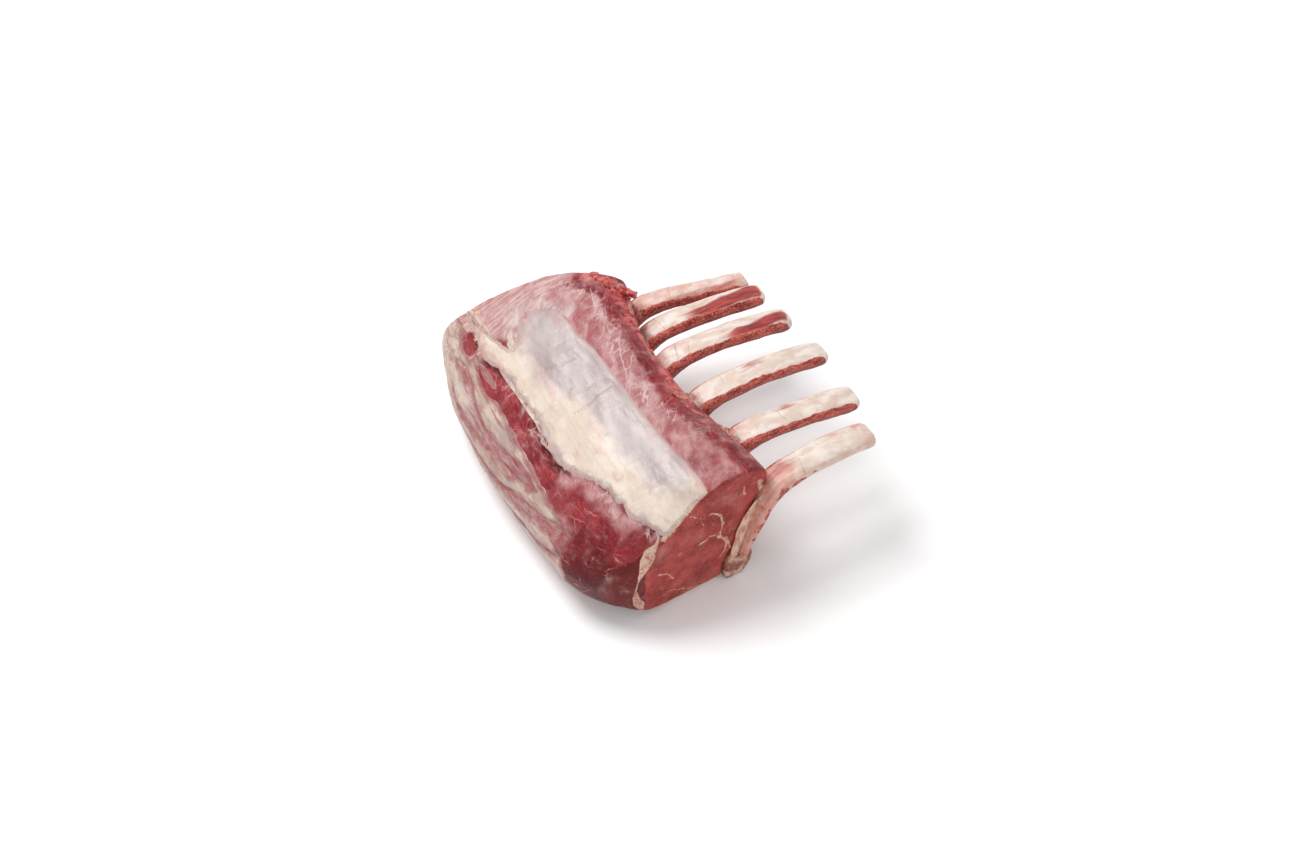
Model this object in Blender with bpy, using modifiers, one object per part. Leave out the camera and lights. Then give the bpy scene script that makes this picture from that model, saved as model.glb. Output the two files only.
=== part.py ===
"""Frenched rack of veal: the loin with its cover of fat, six bared rib bones and the sawn chine.

+Z is up, +X runs along the spine towards the cut end and +Y along the bared ribs. The rack
lies on the side where the spine's feather bones were, so the ribs rise from the chine at the
foot of the +Y side, bend over and reach out level, clear of the table.
Dimensions below are in millimetres and turn into Blender's metres where points are made.
"""

import math

import bmesh
import bpy
from mathutils import Vector, noise

MM = 0.001

# ------------------------------------------------------------------ driving dimensions
GAP = 0.3                      # between pieces that touch
LINE_STEP = 22                 # between stations of an eased line
TABLE_TRIM = 40                # how far a cutter runs past the table and over the crown

# The body is a row of upright rings. Each starts at the rib side with its own start point,
# slant away from the Y axis, width and height. The first is the far end, the last the cut.
RING_STARTS = [(-81, 34), (-46, 21), (-15, 15), (15, 14), (45, 16), (75, 20), (100, 23), (125, 26)]
RING_SLANTS = [30, 25, 18, 11, 6, 1, -2, -2]
RING_WIDTHS = [146, 147, 144, 143, 142, 145, 144, 117]
RING_HEIGHTS = [111, 112, 112, 111, 111, 112, 113, 112]

# One ring's outline in shares of its width and height, from the rib side over the top.
OUTLINE = [
    (0.00, 0.90), (0.12, 0.98), (0.29, 1.00), (0.47, 0.94), (0.65, 0.80), (0.83, 0.62),
    (0.98, 0.42), (0.96, 0.17), (0.80, 0.00), (0.45, 0.00), (0.10, 0.00), (0.07, 0.28),
    (0.04, 0.55), (0.00, 0.78),
]
CUT_CREASE = 0.9               # keeps the cut end flat and its edge crisp
FAR_CREASE = 0.7
RELIEF = 1.2                   # swells and dips of the muscle
FOOT_PRESSED = 1.5             # what is this near the table is pressed flat on it
RELIEF_SIZE = 26

# The fat cover lies along the top between two lines, given as (x, y) seen from above.
COVER_THICK = 4.0
COVER_LOWEST = 50              # the cover stays above this height
COVER_STARTS = (-85, -100)     # where its rib edge and its back edge start, short of the far end
COVER_RIB_EDGE = [(-200, -6), (-110, -12), (-60, -18), (0, -23), (60, -26), (110, -26), (160, -40)]
COVER_BACK_EDGE = [(-200, -60), (-110, -68), (-60, -79), (0, -82), (50, -83), (105, -68), (160, -46)]
# Under its back edge a seam of fat runs down to the table and parts the two muscles.
SEAM_THICK = 2.8
SEAM_TOP = 105
SEAM_FOOT = [(-200, -74), (-110, -82), (-60, -90), (0, -92), (50, -92), (105, -88), (160, -81)]

# The fat along the back: a shell beyond this line, down to a little above the table.
BACK_FAT_THICK = 3.6
BACK_FAT_EDGE = [(-200, -84), (-110, -90), (-60, -102), (0, -104), (60, -104), (100, -106), (160, -112)]
BACK_FAT_END = 102             # where it stops short of the cut end
BACK_FAT_FOOT = 9

# Ribs, counted from the far end: place of the bend along X, lean of the tip along X, foot's
# Y, length of the straight neck, reach from foot to tip, and width.
RIB_COUNT = 6
RIB_X = [-76, -43, -10, 35, 79, 124.5]
RIB_LEAN = [22, 8, 6, 2, 7, -3]
RIB_FOOT_Y = [18, 7, 1, 0, 2, 4]
RIB_NECK = [32, 39, 44, 45, 45, 44]
RIB_REACH = [102, 115, 124, 129, 121, 108]
RIB_WIDTH = [18, 19, 20, 21, 22, 23]
RIB_THICK = 12.5
NECK_THICK = 6.5               # the neck is thinner, and hugged by the meat
RIB_SIDES = 12
RIB_STEP = 9                   # between stations along a rib
RIB_SQUARENESS = 2.8           # 2 is an ellipse, more is boxier
RIB_FOOT_Z = 19
NECK_ANGLE = 79                # degrees above level where the rib leaves the chine
KNEE_TURN = 54
KNEE_SPAN = 44
ARCH_RATE = 0.24               # degrees of bend per millimetre along the whole rib

# The sawn chine: a row of vertebra stumps under the rib feet.
CHINE_BACK = 13                # its width to the meat side of the rib feet
CHINE_FRONT = 9                # and to the other side
CHINE_HEIGHT = 25
CHINE_ENDS = (-84, 129)
CHINE_STEP = 9
CHINE_NECKING = 0.09           # how much it narrows between vertebrae


# The middle of the rack's footprint, where the finished part's origin stands.
FOOTPRINT_MIDDLE = (-6.8, 4.4)

# Colour and roughness of each kind of piece.
LOOKS = {
    "loin_muscle": ((0.36, 0.07, 0.055), 0.4),
    "back_muscle": ((0.26, 0.03, 0.03), 0.4),
    "fat_cover": ((0.72, 0.58, 0.47), 0.42),
    "back_fat": ((0.62, 0.48, 0.4), 0.45),
    "rib": ((0.75, 0.6, 0.5), 0.4),
    "chine": ((0.45, 0.27, 0.2), 0.55),
}


# ------------------------------------------------------------------ small helpers
def clear_scene():
    for obj in list(bpy.data.objects):
        bpy.data.objects.remove(obj)


def group(name):
    made = bpy.data.collections.new(name)
    bpy.context.scene.collection.children.link(made)
    return made


def place(name, bm, where):
    """Makes a mesh object from bm in the given collection."""
    bmesh.ops.recalc_face_normals(bm, faces=bm.faces)
    mesh = bpy.data.meshes.new(name)
    bm.to_mesh(mesh)
    bm.free()
    obj = bpy.data.objects.new(name, mesh)
    where.objects.link(obj)
    return obj


def apply_modifiers(obj):
    graph = bpy.context.evaluated_depsgraph_get()
    mesh = bpy.data.meshes.new_from_object(obj.evaluated_get(graph))
    obj.modifiers.clear()
    obj.data = mesh
    return obj


def boolean(obj, other, operation):
    """Cuts, joins or intersects obj with another object and applies it."""
    cut = obj.modifiers.new(operation.lower(), "BOOLEAN")
    cut.operation = operation
    cut.object = other
    cut.solver = "MANIFOLD"  # EXACT drops the meat where rib and chine hollows meet
    return apply_modifiers(obj)


def smooth_step(share):
    share = max(0.0, min(1.0, share))
    return share * share * (3 - 2 * share)


def along(line, x):
    """Y at x on a smooth curve through a line of (x, y) points."""
    i = next((k for k in range(1, len(line) - 1) if x <= line[k][0]), len(line) - 1)
    (x0, y0), (x1, y1) = line[i - 1], line[i]
    before, after = line[max(i - 2, 0)], line[min(i + 1, len(line) - 1)]
    span = x1 - x0
    rise0 = (y1 - before[1]) / (x1 - before[0]) * span
    rise1 = (after[1] - y0) / (after[0] - x0) * span
    t = (x - x0) / span
    bend = (1 - t) * rise0 - t * rise1 + (2 * t - 1) * (y1 - y0)
    return y0 + (y1 - y0) * t + t * (1 - t) * bend


def loft(bm, rings):
    """Skins closed rings of points, in metres, into a capped solid."""
    rows = [[bm.verts.new(p) for p in ring] for ring in rings]
    count = len(rings[0])
    for low, high in zip(rows, rows[1:]):
        for i in range(count):
            j = (i + 1) % count
            bm.faces.new((low[i], low[j], high[j], high[i]))
    bm.faces.new(reversed(rows[0]))
    bm.faces.new(rows[-1])
    return rows


# ------------------------------------------------------------------ the body's form
def ring_points(k, grow):
    """Cage points of the k-th ring, pushed out by grow."""
    start_x, start_y = RING_STARTS[k]
    slant = math.radians(RING_SLANTS[k])
    way = Vector((-math.sin(slant), -math.cos(slant), 0))
    start = Vector((start_x, start_y, 0))
    flat = [Vector((share * RING_WIDTHS[k], lift * RING_HEIGHTS[k])) for share, lift in OUTLINE]
    points = []
    for i, point in enumerate(flat):
        edge = flat[(i + 1) % len(flat)] - flat[i - 1]
        point = point + Vector((-edge.y, edge.x)).normalized() * grow
        points.append((start + way * point.x + Vector((0, 0, point.y))) * MM)
    return points


def body_form(name, where, grow=0.0, runs_past=False):
    """The whole body as one soft form: a coarse cage under Subdivision Surface.

    A cutter runs past both ends along the way the last two rings point.
    """
    rings = [ring_points(k, grow) for k in range(len(RING_STARTS))]
    if runs_past:
        rings.insert(0, [p + (p - q) for p, q in zip(rings[0], rings[1])])
        rings.append([p + (p - q) for p, q in zip(rings[-1], rings[-2])])
    bm = bmesh.new()
    rows = loft(bm, rings)
    bm.faces.ensure_lookup_table()
    bmesh.ops.inset_individual(bm, faces=bm.faces[-2:], thickness=8 * MM)
    crease = bm.edges.layers.float.new("crease_edge")
    for ring, sharp in ((rows[0], FAR_CREASE), (rows[-1], CUT_CREASE)):
        for i, vert in enumerate(ring):
            bm.edges.get((vert, ring[i - 1]))[crease] = sharp
    obj = place(name, bm, where)
    soft = obj.modifiers.new("soft form", "SUBSURF")
    soft.levels = soft.render_levels = 2
    return apply_modifiers(obj)


def add_relief(obj):
    """Gives the muscle its shallow swells and dips, and leaves the foot flat."""
    for vert in obj.data.vertices:
        height = vert.co.z / MM
        share = smooth_step((height - 2) / 12)
        swell = noise.noise(vert.co / (RELIEF_SIZE * MM))
        vert.co += vert.normal * (swell * RELIEF * share * MM)
        if height < FOOT_PRESSED:
            vert.co.z = 0
    return obj


# ------------------------------------------------------------------ cutters
def prism(name, outline, foot, top, where):
    """An upright block over an outline of (x, y) points in millimetres."""
    bm = bmesh.new()
    loft(bm, [[Vector((x, y, z)) * MM for x, y in outline] for z in (foot, top)])
    return place(name, bm, where)


def seam_slab(grow, where):
    """The wall of fat under the cover's back edge, leaning out to its foot."""
    half = SEAM_THICK / 2 + grow
    rings = []
    for x in range(-200, 161, LINE_STEP):
        y, foot_y = along(COVER_BACK_EDGE, x), along(SEAM_FOOT, x)
        corners = [(y + half, SEAM_TOP), (y - half, SEAM_TOP), (foot_y - half, -TABLE_TRIM), (foot_y + half, -TABLE_TRIM)]
        rings.append([Vector((x, side, z)) * MM for side, z in corners])
    bm = bmesh.new()
    loft(bm, rings)
    bmesh.ops.triangulate(bm, faces=bm.faces[:], quad_method="FIXED")
    return place("seam", bm, where)


def edge_points(line, shift, first=-200, last=160):
    """A line of (x, y) points, eased and moved in Y."""
    stations = [first, *range(-200, 160, LINE_STEP), last]
    return [(x, along(line, x) + shift) for x in sorted(set(stations)) if first <= x <= last]


def shell_region(name, outline, foot, thick, grow, where):
    """The outer layer of the body, thick deep, over an outline seen from above."""
    region = body_form(name, where, grow=8, runs_past=True)
    block = prism(name + " outline", outline, foot, 4 * TABLE_TRIM, where)
    boolean(region, block, "INTERSECT")
    core = body_form(name + " core", where, grow=-thick - grow, runs_past=True)
    return boolean(region, core, "DIFFERENCE")


def cover_region(grow, where):
    rib_start, back_start = (start - grow for start in COVER_STARTS)
    outline = edge_points(COVER_RIB_EDGE, grow, rib_start)
    outline += reversed(edge_points(COVER_BACK_EDGE, -SEAM_THICK - grow, back_start))
    region = shell_region("cover region", outline, COVER_LOWEST, COVER_THICK, grow, where)
    return boolean(region, seam_slab(grow, where), "UNION")


def back_fat_region(grow, where):
    outline = edge_points(BACK_FAT_EDGE, grow, last=BACK_FAT_END)
    end = BACK_FAT_END + grow
    outline += [(end, outline[-1][1] - 12), (end, -200), (-200, -200)]
    return shell_region("back fat region", outline, BACK_FAT_FOOT - grow, BACK_FAT_THICK, grow, where)


# ------------------------------------------------------------------ bones
def rib_line(k):
    """Places and slopes of a rib's stations along its middle, from the chine to the tip."""
    y, z, run = RIB_FOOT_Y[k], RIB_FOOT_Z, 0
    path = []
    while y < RIB_FOOT_Y[k] + RIB_REACH[k]:
        knee = smooth_step((run - RIB_NECK[k]) / KNEE_SPAN)
        slope = math.radians(NECK_ANGLE - KNEE_TURN * knee - ARCH_RATE * run)
        lean = RIB_LEAN[k] * smooth_step((y - RIB_FOOT_Y[k]) / RIB_REACH[k])
        path.append((Vector((RIB_X[k] + lean, y, z)), slope))
        y += math.cos(slope)
        z += math.sin(slope)
        run += 1
    count = round(len(path) / RIB_STEP)
    return [path[i * (len(path) - 1) // count] for i in range(count + 1)]


def rib(k, name, where, grow=0.0):
    """One rib: a flat rounded bar along its line, narrow at the neck and flared at the tip."""
    line = rib_line(k)
    rings = []
    for i, (middle, slope) in enumerate(line):
        share = i / (len(line) - 1)
        neck_to_tip = 0.64 + 0.46 * smooth_step(share / 0.3) - 0.14 * smooth_step(share / 0.35 - 0.9) + 0.06 * share
        wide = RIB_WIDTH[k] / 2 * neck_to_tip + grow
        thick = (NECK_THICK + (RIB_THICK - NECK_THICK) * smooth_step(share * 3 - 0.4)) / 2 + grow
        if i in (0, len(line) - 1):
            wide, thick = wide * 0.9, thick * 0.86
        up = Vector((0, -math.sin(slope), math.cos(slope)))
        ring = []
        for n in range(RIB_SIDES):
            turn = math.tau * n / RIB_SIDES
            across = math.copysign(abs(math.cos(turn)) ** (2 / RIB_SQUARENESS), math.cos(turn))
            lift = math.copysign(abs(math.sin(turn)) ** (2 / RIB_SQUARENESS), math.sin(turn))
            ring.append((middle + Vector((1, 0, 0)) * across * wide + up * lift * thick) * MM)
        rings.append(ring)
    bm = bmesh.new()
    loft(bm, rings)
    return place(name, bm, where)


def chine_y(x):
    """Y of the line through the rib feet."""
    return along([(-200, 48), *zip(RIB_X, RIB_FOOT_Y), (200, 2)], x)


def chine(name, where, grow=0.0):
    """The vertebra stumps in one strip, sawn flat below and at both ends."""
    first, last = CHINE_ENDS
    steps = round((last - first) / CHINE_STEP)
    pitch = (RIB_X[-1] - RIB_X[0]) / (RIB_COUNT - 1)
    rings = []
    for i in range(steps + 1):
        x = first + (last - first) * i / steps
        swell = 1 + CHINE_NECKING * math.cos(math.tau * (x - RIB_X[-1]) / pitch)
        back = chine_y(x) - CHINE_BACK * swell - grow
        front = chine_y(x) + CHINE_FRONT * swell + grow
        top = CHINE_HEIGHT * swell + grow
        foot = -grow
        if i in (0, steps):
            x += math.copysign(grow, i - 1)
        section = [(back, foot), (front - 8, foot), (front - 1, 11), (front, top - 7), (front - 6, top), (back + 7, top), (back, top - 8)]
        rings.append([Vector((x, y, z)) * MM for y, z in section])
    bm = bmesh.new()
    loft(bm, rings)
    return place(name, bm, where)


# ------------------------------------------------------------------ meat
def split_muscles(meat, where):
    """Parts the cut meat at the seam: its two largest bodies are the muscles, the rest is scrap."""
    bm = bmesh.new()
    bm.from_mesh(meat.data)
    bm.verts.index_update()
    left, bodies = set(bm.verts), []
    while left:
        body, front = set(), [left.pop()]
        while front:
            vert = front.pop()
            body.add(vert.index)
            near = {edge.other_vert(vert) for edge in vert.link_edges} & left
            left -= near
            front.extend(near)
        bodies.append(body)
    bodies.sort(key=len, reverse=True)
    for name, body in zip(("loin_muscle", "back_muscle"), bodies):
        piece = bm.copy()
        bmesh.ops.delete(piece, geom=[v for v in piece.verts if v.index not in body], context="VERTS")
        place(name, piece, where)
    bm.free()
    bpy.data.objects.remove(meat)


def copy_of(obj, name, where):
    made = obj.copy()
    made.data = obj.data.copy()
    made.name = name
    where.objects.link(made)
    return made


def finish(parts):
    """Gives each piece its material and sets the rack on its origin."""
    middle = bpy.data.objects.new("rack", None)
    middle.location = Vector((-FOOTPRINT_MIDDLE[0], -FOOTPRINT_MIDDLE[1], 0)) * MM
    parts.objects.link(middle)
    for obj in parts.objects:
        if obj is middle:
            continue
        obj.parent = middle
        colour, roughness = next(look for word, look in LOOKS.items() if obj.name.startswith(word))
        material = bpy.data.materials.new(obj.name)
        material.use_nodes = True
        surface = material.node_tree.nodes["Principled BSDF"]
        surface.inputs["Base Color"].default_value = (*colour, 1)
        surface.inputs["Roughness"].default_value = roughness
        surface.inputs["Metallic"].default_value = 0
        obj.data.materials.clear()
        obj.data.materials.append(material)
        obj.data.shade_smooth()
        obj.data.set_sharp_from_angle(angle=math.radians(35))


def main():
    clear_scene()
    parts = group("frenched rack of veal")
    cutters = group("cutters")

    body = add_relief(body_form("body", cutters))
    rib_hollows = [rib(k, f"rib hollow {k + 1}", cutters, GAP) for k in range(RIB_COUNT)]
    hollows = rib_hollows + [chine("chine hollow", cutters, GAP), cover_region(GAP, cutters), back_fat_region(GAP, cutters)]

    meat = copy_of(body, "meat", cutters)
    for hollow in hollows:
        boolean(meat, hollow, "DIFFERENCE")
    split_muscles(meat, parts)
    boolean(copy_of(body, "fat_cover", parts), cover_region(0, cutters), "INTERSECT")
    boolean(copy_of(body, "back_fat", parts), back_fat_region(0, cutters), "INTERSECT")

    for k in range(RIB_COUNT):
        rib(k, f"rib_{k + 1}", parts)
    backbone = chine("chine", parts)
    for hollow in rib_hollows:
        boolean(backbone, hollow, "DIFFERENCE")

    for cutter in list(cutters.objects):
        bpy.data.objects.remove(cutter)
    bpy.data.collections.remove(cutters)
    finish(parts)


main()
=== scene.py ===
# %% [markdown]
# # A frenched rack of veal
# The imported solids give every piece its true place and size. This notebook gives them their
# looks: a body of raw muscle under silverskin and fat, a face cut straight across the loin,
# and six bared ribs with a strip of dark meat left on their sides.

import itertools
import math

import bmesh
import bpy
import numpy as np
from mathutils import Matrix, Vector
from mathutils.bvhtree import BVHTree


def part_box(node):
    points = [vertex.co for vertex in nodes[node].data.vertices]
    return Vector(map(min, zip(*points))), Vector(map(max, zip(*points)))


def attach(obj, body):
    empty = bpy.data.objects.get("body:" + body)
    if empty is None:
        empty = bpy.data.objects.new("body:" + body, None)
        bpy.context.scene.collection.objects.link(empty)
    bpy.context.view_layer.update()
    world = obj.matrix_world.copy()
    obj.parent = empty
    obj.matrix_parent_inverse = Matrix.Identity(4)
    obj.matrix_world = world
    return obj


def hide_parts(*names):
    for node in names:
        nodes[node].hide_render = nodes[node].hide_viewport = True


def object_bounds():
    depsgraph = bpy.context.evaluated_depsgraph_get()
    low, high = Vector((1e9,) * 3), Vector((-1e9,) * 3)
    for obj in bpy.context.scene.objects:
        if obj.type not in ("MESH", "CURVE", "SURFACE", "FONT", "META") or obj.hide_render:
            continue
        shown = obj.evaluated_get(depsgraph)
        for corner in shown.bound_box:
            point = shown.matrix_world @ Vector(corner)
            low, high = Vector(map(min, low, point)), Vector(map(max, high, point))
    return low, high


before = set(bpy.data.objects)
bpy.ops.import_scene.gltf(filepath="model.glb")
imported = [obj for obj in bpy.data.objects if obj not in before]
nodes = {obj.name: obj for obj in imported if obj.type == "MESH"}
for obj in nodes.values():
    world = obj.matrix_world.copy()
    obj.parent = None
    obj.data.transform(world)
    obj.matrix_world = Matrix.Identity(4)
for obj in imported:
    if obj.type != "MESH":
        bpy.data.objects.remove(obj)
cad_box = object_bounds()
MM = 0.001
box_in_mm = [[round(value / MM, 1) for value in corner] for corner in cad_box]
print("pieces:", sorted(nodes), "box in mm:", box_in_mm)

# %% [markdown]
# ## Meshes as tables of points
# Raw meat has no straight line on it, so nearly every step below moves thousands of points by
# a rule. Blender's own operators work on one object at a time, while numpy moves all points of
# a mesh in one go. These helpers pass points, normals and fields between the two.


# %% Points in and out of a mesh
def points_of(mesh):
    """The mesh's points as an array, in millimetres."""
    flat = np.empty(len(mesh.vertices) * 3, np.float32)
    mesh.vertices.foreach_get("co", flat)
    return flat.reshape(-1, 3).astype(float) / MM


def normals_of(mesh):
    """The skin's outward directions at the mesh's points."""
    flat = np.empty(len(mesh.vertices) * 3, np.float32)
    mesh.vertex_normals.foreach_get("vector", flat)
    return flat.reshape(-1, 3).astype(float)


def move_points(mesh, points):
    """Puts the mesh's points at new places, given in millimetres."""
    mesh.vertices.foreach_set("co", (points * MM).astype(np.float32).ravel())
    mesh.update()


def corners_of(mesh):
    """The mesh's quads, one row of four point numbers each."""
    flat = np.empty(len(mesh.loops), np.int32)
    mesh.loops.foreach_get("vertex_index", flat)
    return flat.reshape(-1, 4)


def held_in(points):
    """The points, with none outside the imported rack's own box."""
    low, high = (np.array(corner) / MM for corner in cad_box)
    return np.clip(points, low, high)


def new_object(name, mesh):
    """An object of the mesh, in the scene."""
    obj = bpy.data.objects.new(name, mesh)
    bpy.context.scene.collection.objects.link(obj)
    return obj


def mesh_from(name, points, faces):
    """An object from points in millimetres and faces given as rows of point numbers."""
    mesh = bpy.data.meshes.new(name)
    mesh.from_pydata((points * MM).tolist(), [], [list(map(int, face)) for face in faces])
    mesh.update()
    return new_object(name, mesh)


def settle(obj):
    """Applies the object's modifiers."""
    graph = bpy.context.evaluated_depsgraph_get()
    mesh = bpy.data.meshes.new_from_object(obj.evaluated_get(graph))
    obj.modifiers.clear()
    obj.data = mesh
    return obj


print("the loin's solid has", len(points_of(nodes["loin_muscle"].data)), "points to start from")

# %% [markdown]
# ## Noise and soft steps
# Meat is uneven at every size, from the swell of a muscle down to its fibres. One noise
# function is enough for all of it: the size of its swells is given in millimetres, and the
# points can be squeezed first, to draw it out into streaks. It gives the same result each run.


# %% Noise and soft steps
def ripple(points, size, seed=0):
    """Smooth noise from about -1 to 1 whose swells are size millimetres across."""
    places = np.asarray(points, float) / size + 31.7 * seed
    cell = np.floor(places).astype(np.int64)
    inside = places - cell
    ease = inside**3 * (inside * (inside * 6 - 15) + 10)
    total = np.zeros(len(places))
    for corner in itertools.product((0, 1), repeat=3):
        x, y, z = (cell + corner).T
        mixed = (x * 73856093 ^ y * 19349663 ^ z * 83492791) & 0x7FFFFFFF
        mixed = (mixed ^ (mixed >> 13)) * 1274126177 & 0x7FFFFFFF
        mixed = (mixed ^ (mixed >> 16)) & 0x3FFFFFFF
        slope = np.stack([mixed % 1021, mixed // 1021 % 1021, mixed // 1042441 % 1021], 1) / 510 - 1
        weight = np.prod(np.where(corner, ease, 1 - ease), axis=1)
        total += weight * ((inside - corner) * slope).sum(1)
    return np.clip(1.7 * total, -1, 1)


def layered(points, size, seed=0):
    """Noise in three sizes, each half as large and half as strong as the one before."""
    return sum(ripple(points, size / 2**k, seed + k) / 2**k for k in range(3)) / 1.75


def chances(spot, spread, seed, count):
    """A few random numbers from -1 to 1 for one spot, the same in each run."""
    return [float(ripple(np.array([spot]), spread, seed + k)[0]) for k in range(count)]


def soft(value):
    """A step from 0 to 1 with eased ends."""
    value = np.clip(value, 0, 1)
    return value * value * (3 - 2 * value)


def between(value, low, high, edge=1.0):
    """1 inside the band from low to high, easing to 0 over edge on either side."""
    return soft((value - low) / edge + 0.5) * soft((high - value) / edge + 0.5)


trial = layered(np.arange(3000.0).reshape(-1, 3), 17)
print("noise runs from", round(float(trial.min()), 2), "to", round(float(trial.max()), 2))

# %% [markdown]
# ## Paths and lines
# Many things here follow a path: a vein of fat, a slit, the edge of a sheet. A path is given by
# the few points where it bends. Distances to a path make veins and slits, and a line whose
# corners are eased away makes the edges, because nothing in meat turns sharply.


# %% Paths and lines
LINE_STATIONS = 200   # places at which an eased line is read
EASED_OVER = 21       # stations averaged, to ease the line's corners


def near_path(points, path, width):
    """1 on a path of (y, z) points, easing to 0 at width."""
    path = np.array(path, float)
    best = np.full(len(points), np.inf)
    for start, end in zip(path[:-1], path[1:]):
        run = end - start
        share = np.clip(((points - start) @ run) / (run @ run), 0, 1)
        best = np.minimum(best, np.linalg.norm(points - start - share[:, None] * run, axis=1))
    return soft(1 - best / width)


def line_at(line, x):
    """The height of an eased line, given as (x, height) points, at each x."""
    knots = np.array(line, float)
    stations = np.linspace(knots[0, 0], knots[-1, 0], LINE_STATIONS)
    heights = np.interp(stations, knots[:, 0], knots[:, 1])
    window = np.hanning(EASED_OVER)
    padded = np.pad(heights, EASED_OVER // 2, mode="edge")
    return np.interp(x, stations, np.convolve(padded, window / window.sum(), "valid"))


print("an eased corner of height 1 keeps", round(float(line_at([(0, 0), (1, 1), (2, 0)], 1)), 2))

# %% [markdown]
# ## The body's even skin
# The four soft solids, loin, back muscle, fat cover and back fat, meet along thin gaps. To
# paint and carve the meat as one, they are swollen a hair so that they meet, and a voxel
# Remesh turns them into one skin of even little squares. A few rounds of averaging then take
# out the facets. The swelling is taken back at the end, so the skin lies where the solids are.

# %% An even skin over solids
SKIN_STEP = 1.2       # size of the squares of the body's skin
SWELL = 0.25          # closes the gaps between the solids
SKIN_ROUNDS = 24      # rounds of averaging
WELD = 0.01           # solids' corners closer than this are one


def joined_copy(name, names):
    """One mesh of the named solids, with their split corners welded."""
    bm = bmesh.new()
    for node in names:
        bm.from_mesh(nodes[node].data)
    bmesh.ops.remove_doubles(bm, verts=bm.verts, dist=WELD * MM)
    mesh = bpy.data.meshes.new(name)
    bm.to_mesh(mesh)
    bm.free()
    return new_object(name, mesh)


def neighbours(mesh):
    """The mesh's edges as pairs of point numbers, each edge both ways."""
    ends = np.empty(len(mesh.edges) * 2, np.int32)
    mesh.edges.foreach_get("vertices", ends)
    ends = ends.reshape(-1, 2)
    return np.concatenate([ends, ends[:, ::-1]])


def relaxed(points, pairs, rounds):
    """Each point moves halfway to the middle of its neighbours, round after round."""
    own, other = pairs.T
    count = np.bincount(own, minlength=len(points))[:, None]
    for _ in range(rounds):
        total = [np.bincount(own, points[other, axis], len(points)) for axis in range(3)]
        points = points + (np.stack(total, 1) / count - points) * 0.5
    return points


def even_skin(name, names, step, swell, rounds):
    """A skin of even squares over the named solids, averaged for some rounds."""
    obj = joined_copy(name, names)
    move_points(obj.data, points_of(obj.data) + normals_of(obj.data) * swell)
    remesh = obj.modifiers.new("even squares", "REMESH")
    remesh.mode = "VOXEL"
    remesh.voxel_size = step * MM
    settle(obj)
    points = relaxed(points_of(obj.data), neighbours(obj.data), rounds)
    move_points(obj.data, points)
    move_points(obj.data, points - normals_of(obj.data) * swell)
    return obj


soft_solids = ["loin_muscle", "back_muscle", "fat_cover", "back_fat"]
flesh = even_skin("flesh", soft_solids, SKIN_STEP, SWELL, SKIN_ROUNDS)
print("skin of", len(flesh.data.vertices), "points")

# %% [markdown]
# ## A map of the body
# To say where fat ends and where a groove runs, the skin needs a map. Its first coordinate is
# x, along the spine. Its second, the girth, is the angle round a line inside the body: 0 points
# to the rib side, 90 straight up and 180 to the back. Edges are then lines on that map, and
# the distance to one, in millimetres, tells each point how far inside the fat it lies.

# %% Girth, laps and the cut face
AXIS_Y, AXIS_Z = -52, 42    # the line inside the body that the girth goes round
CUT_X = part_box("loin_muscle")[1].x / MM
FAR_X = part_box("loin_muscle")[0].x / MM
FACE_DEPTH = 14       # the cut face and its rounded edge lie within this of CUT_X
END_X = -50           # the far end's face lies beyond this x


class Place:
    """Where each point of a skin lies on the body's map."""

    def __init__(self, points, normals):
        self.points = points
        self.x, self.y, self.z = points.T
        self.girth = np.degrees(np.arctan2(self.z - AXIS_Z, self.y - AXIS_Y)) % 360
        self.reach = np.hypot(self.z - AXIS_Z, self.y - AXIS_Y)
        self.face = soft((normals[:, 0] - 0.45) / 0.35) * (self.x > CUT_X - FACE_DEPTH)
        self.end = soft((-normals[:, 0] - 0.5) / 0.25) * (self.x < END_X)
        self.under = soft((-normals[:, 2] - 0.6) / 0.3)

    def lap(self, line):
        """Distance round the body past a line of (x, girth) points."""
        return (self.girth - line_at(line, self.x)) * np.radians(self.reach)

    def near(self, line, width):
        """1 on a line of (x, girth) points, easing to 0 at width, and 0 past its ends."""
        ends = between(self.x, line[0][0], line[-1][0], 8)
        return soft(1 - np.abs(self.lap(line)) / width) * ends

    def spot(self, x, girth, long, wide):
        """A rounded patch's signed distance: positive inside, in millimetres."""
        across = (self.girth - girth) * np.radians(self.reach)
        return (1 - np.hypot((self.x - x) / long, across / wide)) * min(long, wide)


def face_rim(where, rim):
    """How far below a face's rim a point lies, read from the skin's points on that rim."""
    order = np.argsort(where.girth[rim])
    turns = np.arange(0, 360, 3)
    reach = np.interp(turns, where.girth[rim][order], where.reach[rim][order], period=360)
    return lambda place: np.interp(place.girth, turns, reach, period=360) - place.reach


flesh_points = points_of(flesh.data)
where = Place(flesh_points, normals_of(flesh.data))
below_rim = face_rim(where, (where.x > CUT_X - 6) & (where.face < 0.5))
below_end_rim = face_rim(where, (where.end > 0.05) & (where.end < 0.6))
print("cut face at x", round(CUT_X), "holds", int((where.face > 0.5).sum()), "points")

# %% [markdown]
# ## Where the fat cover ends
# The fat cover runs along the crown. Its rib edge is a clean line where the silverskin was
# slit, its back edge is torn, and its far edge wanders. Each edge is a line on the map, and
# noise frays it. Under the torn edge a few dark gaps open, where the fat came away.

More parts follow.
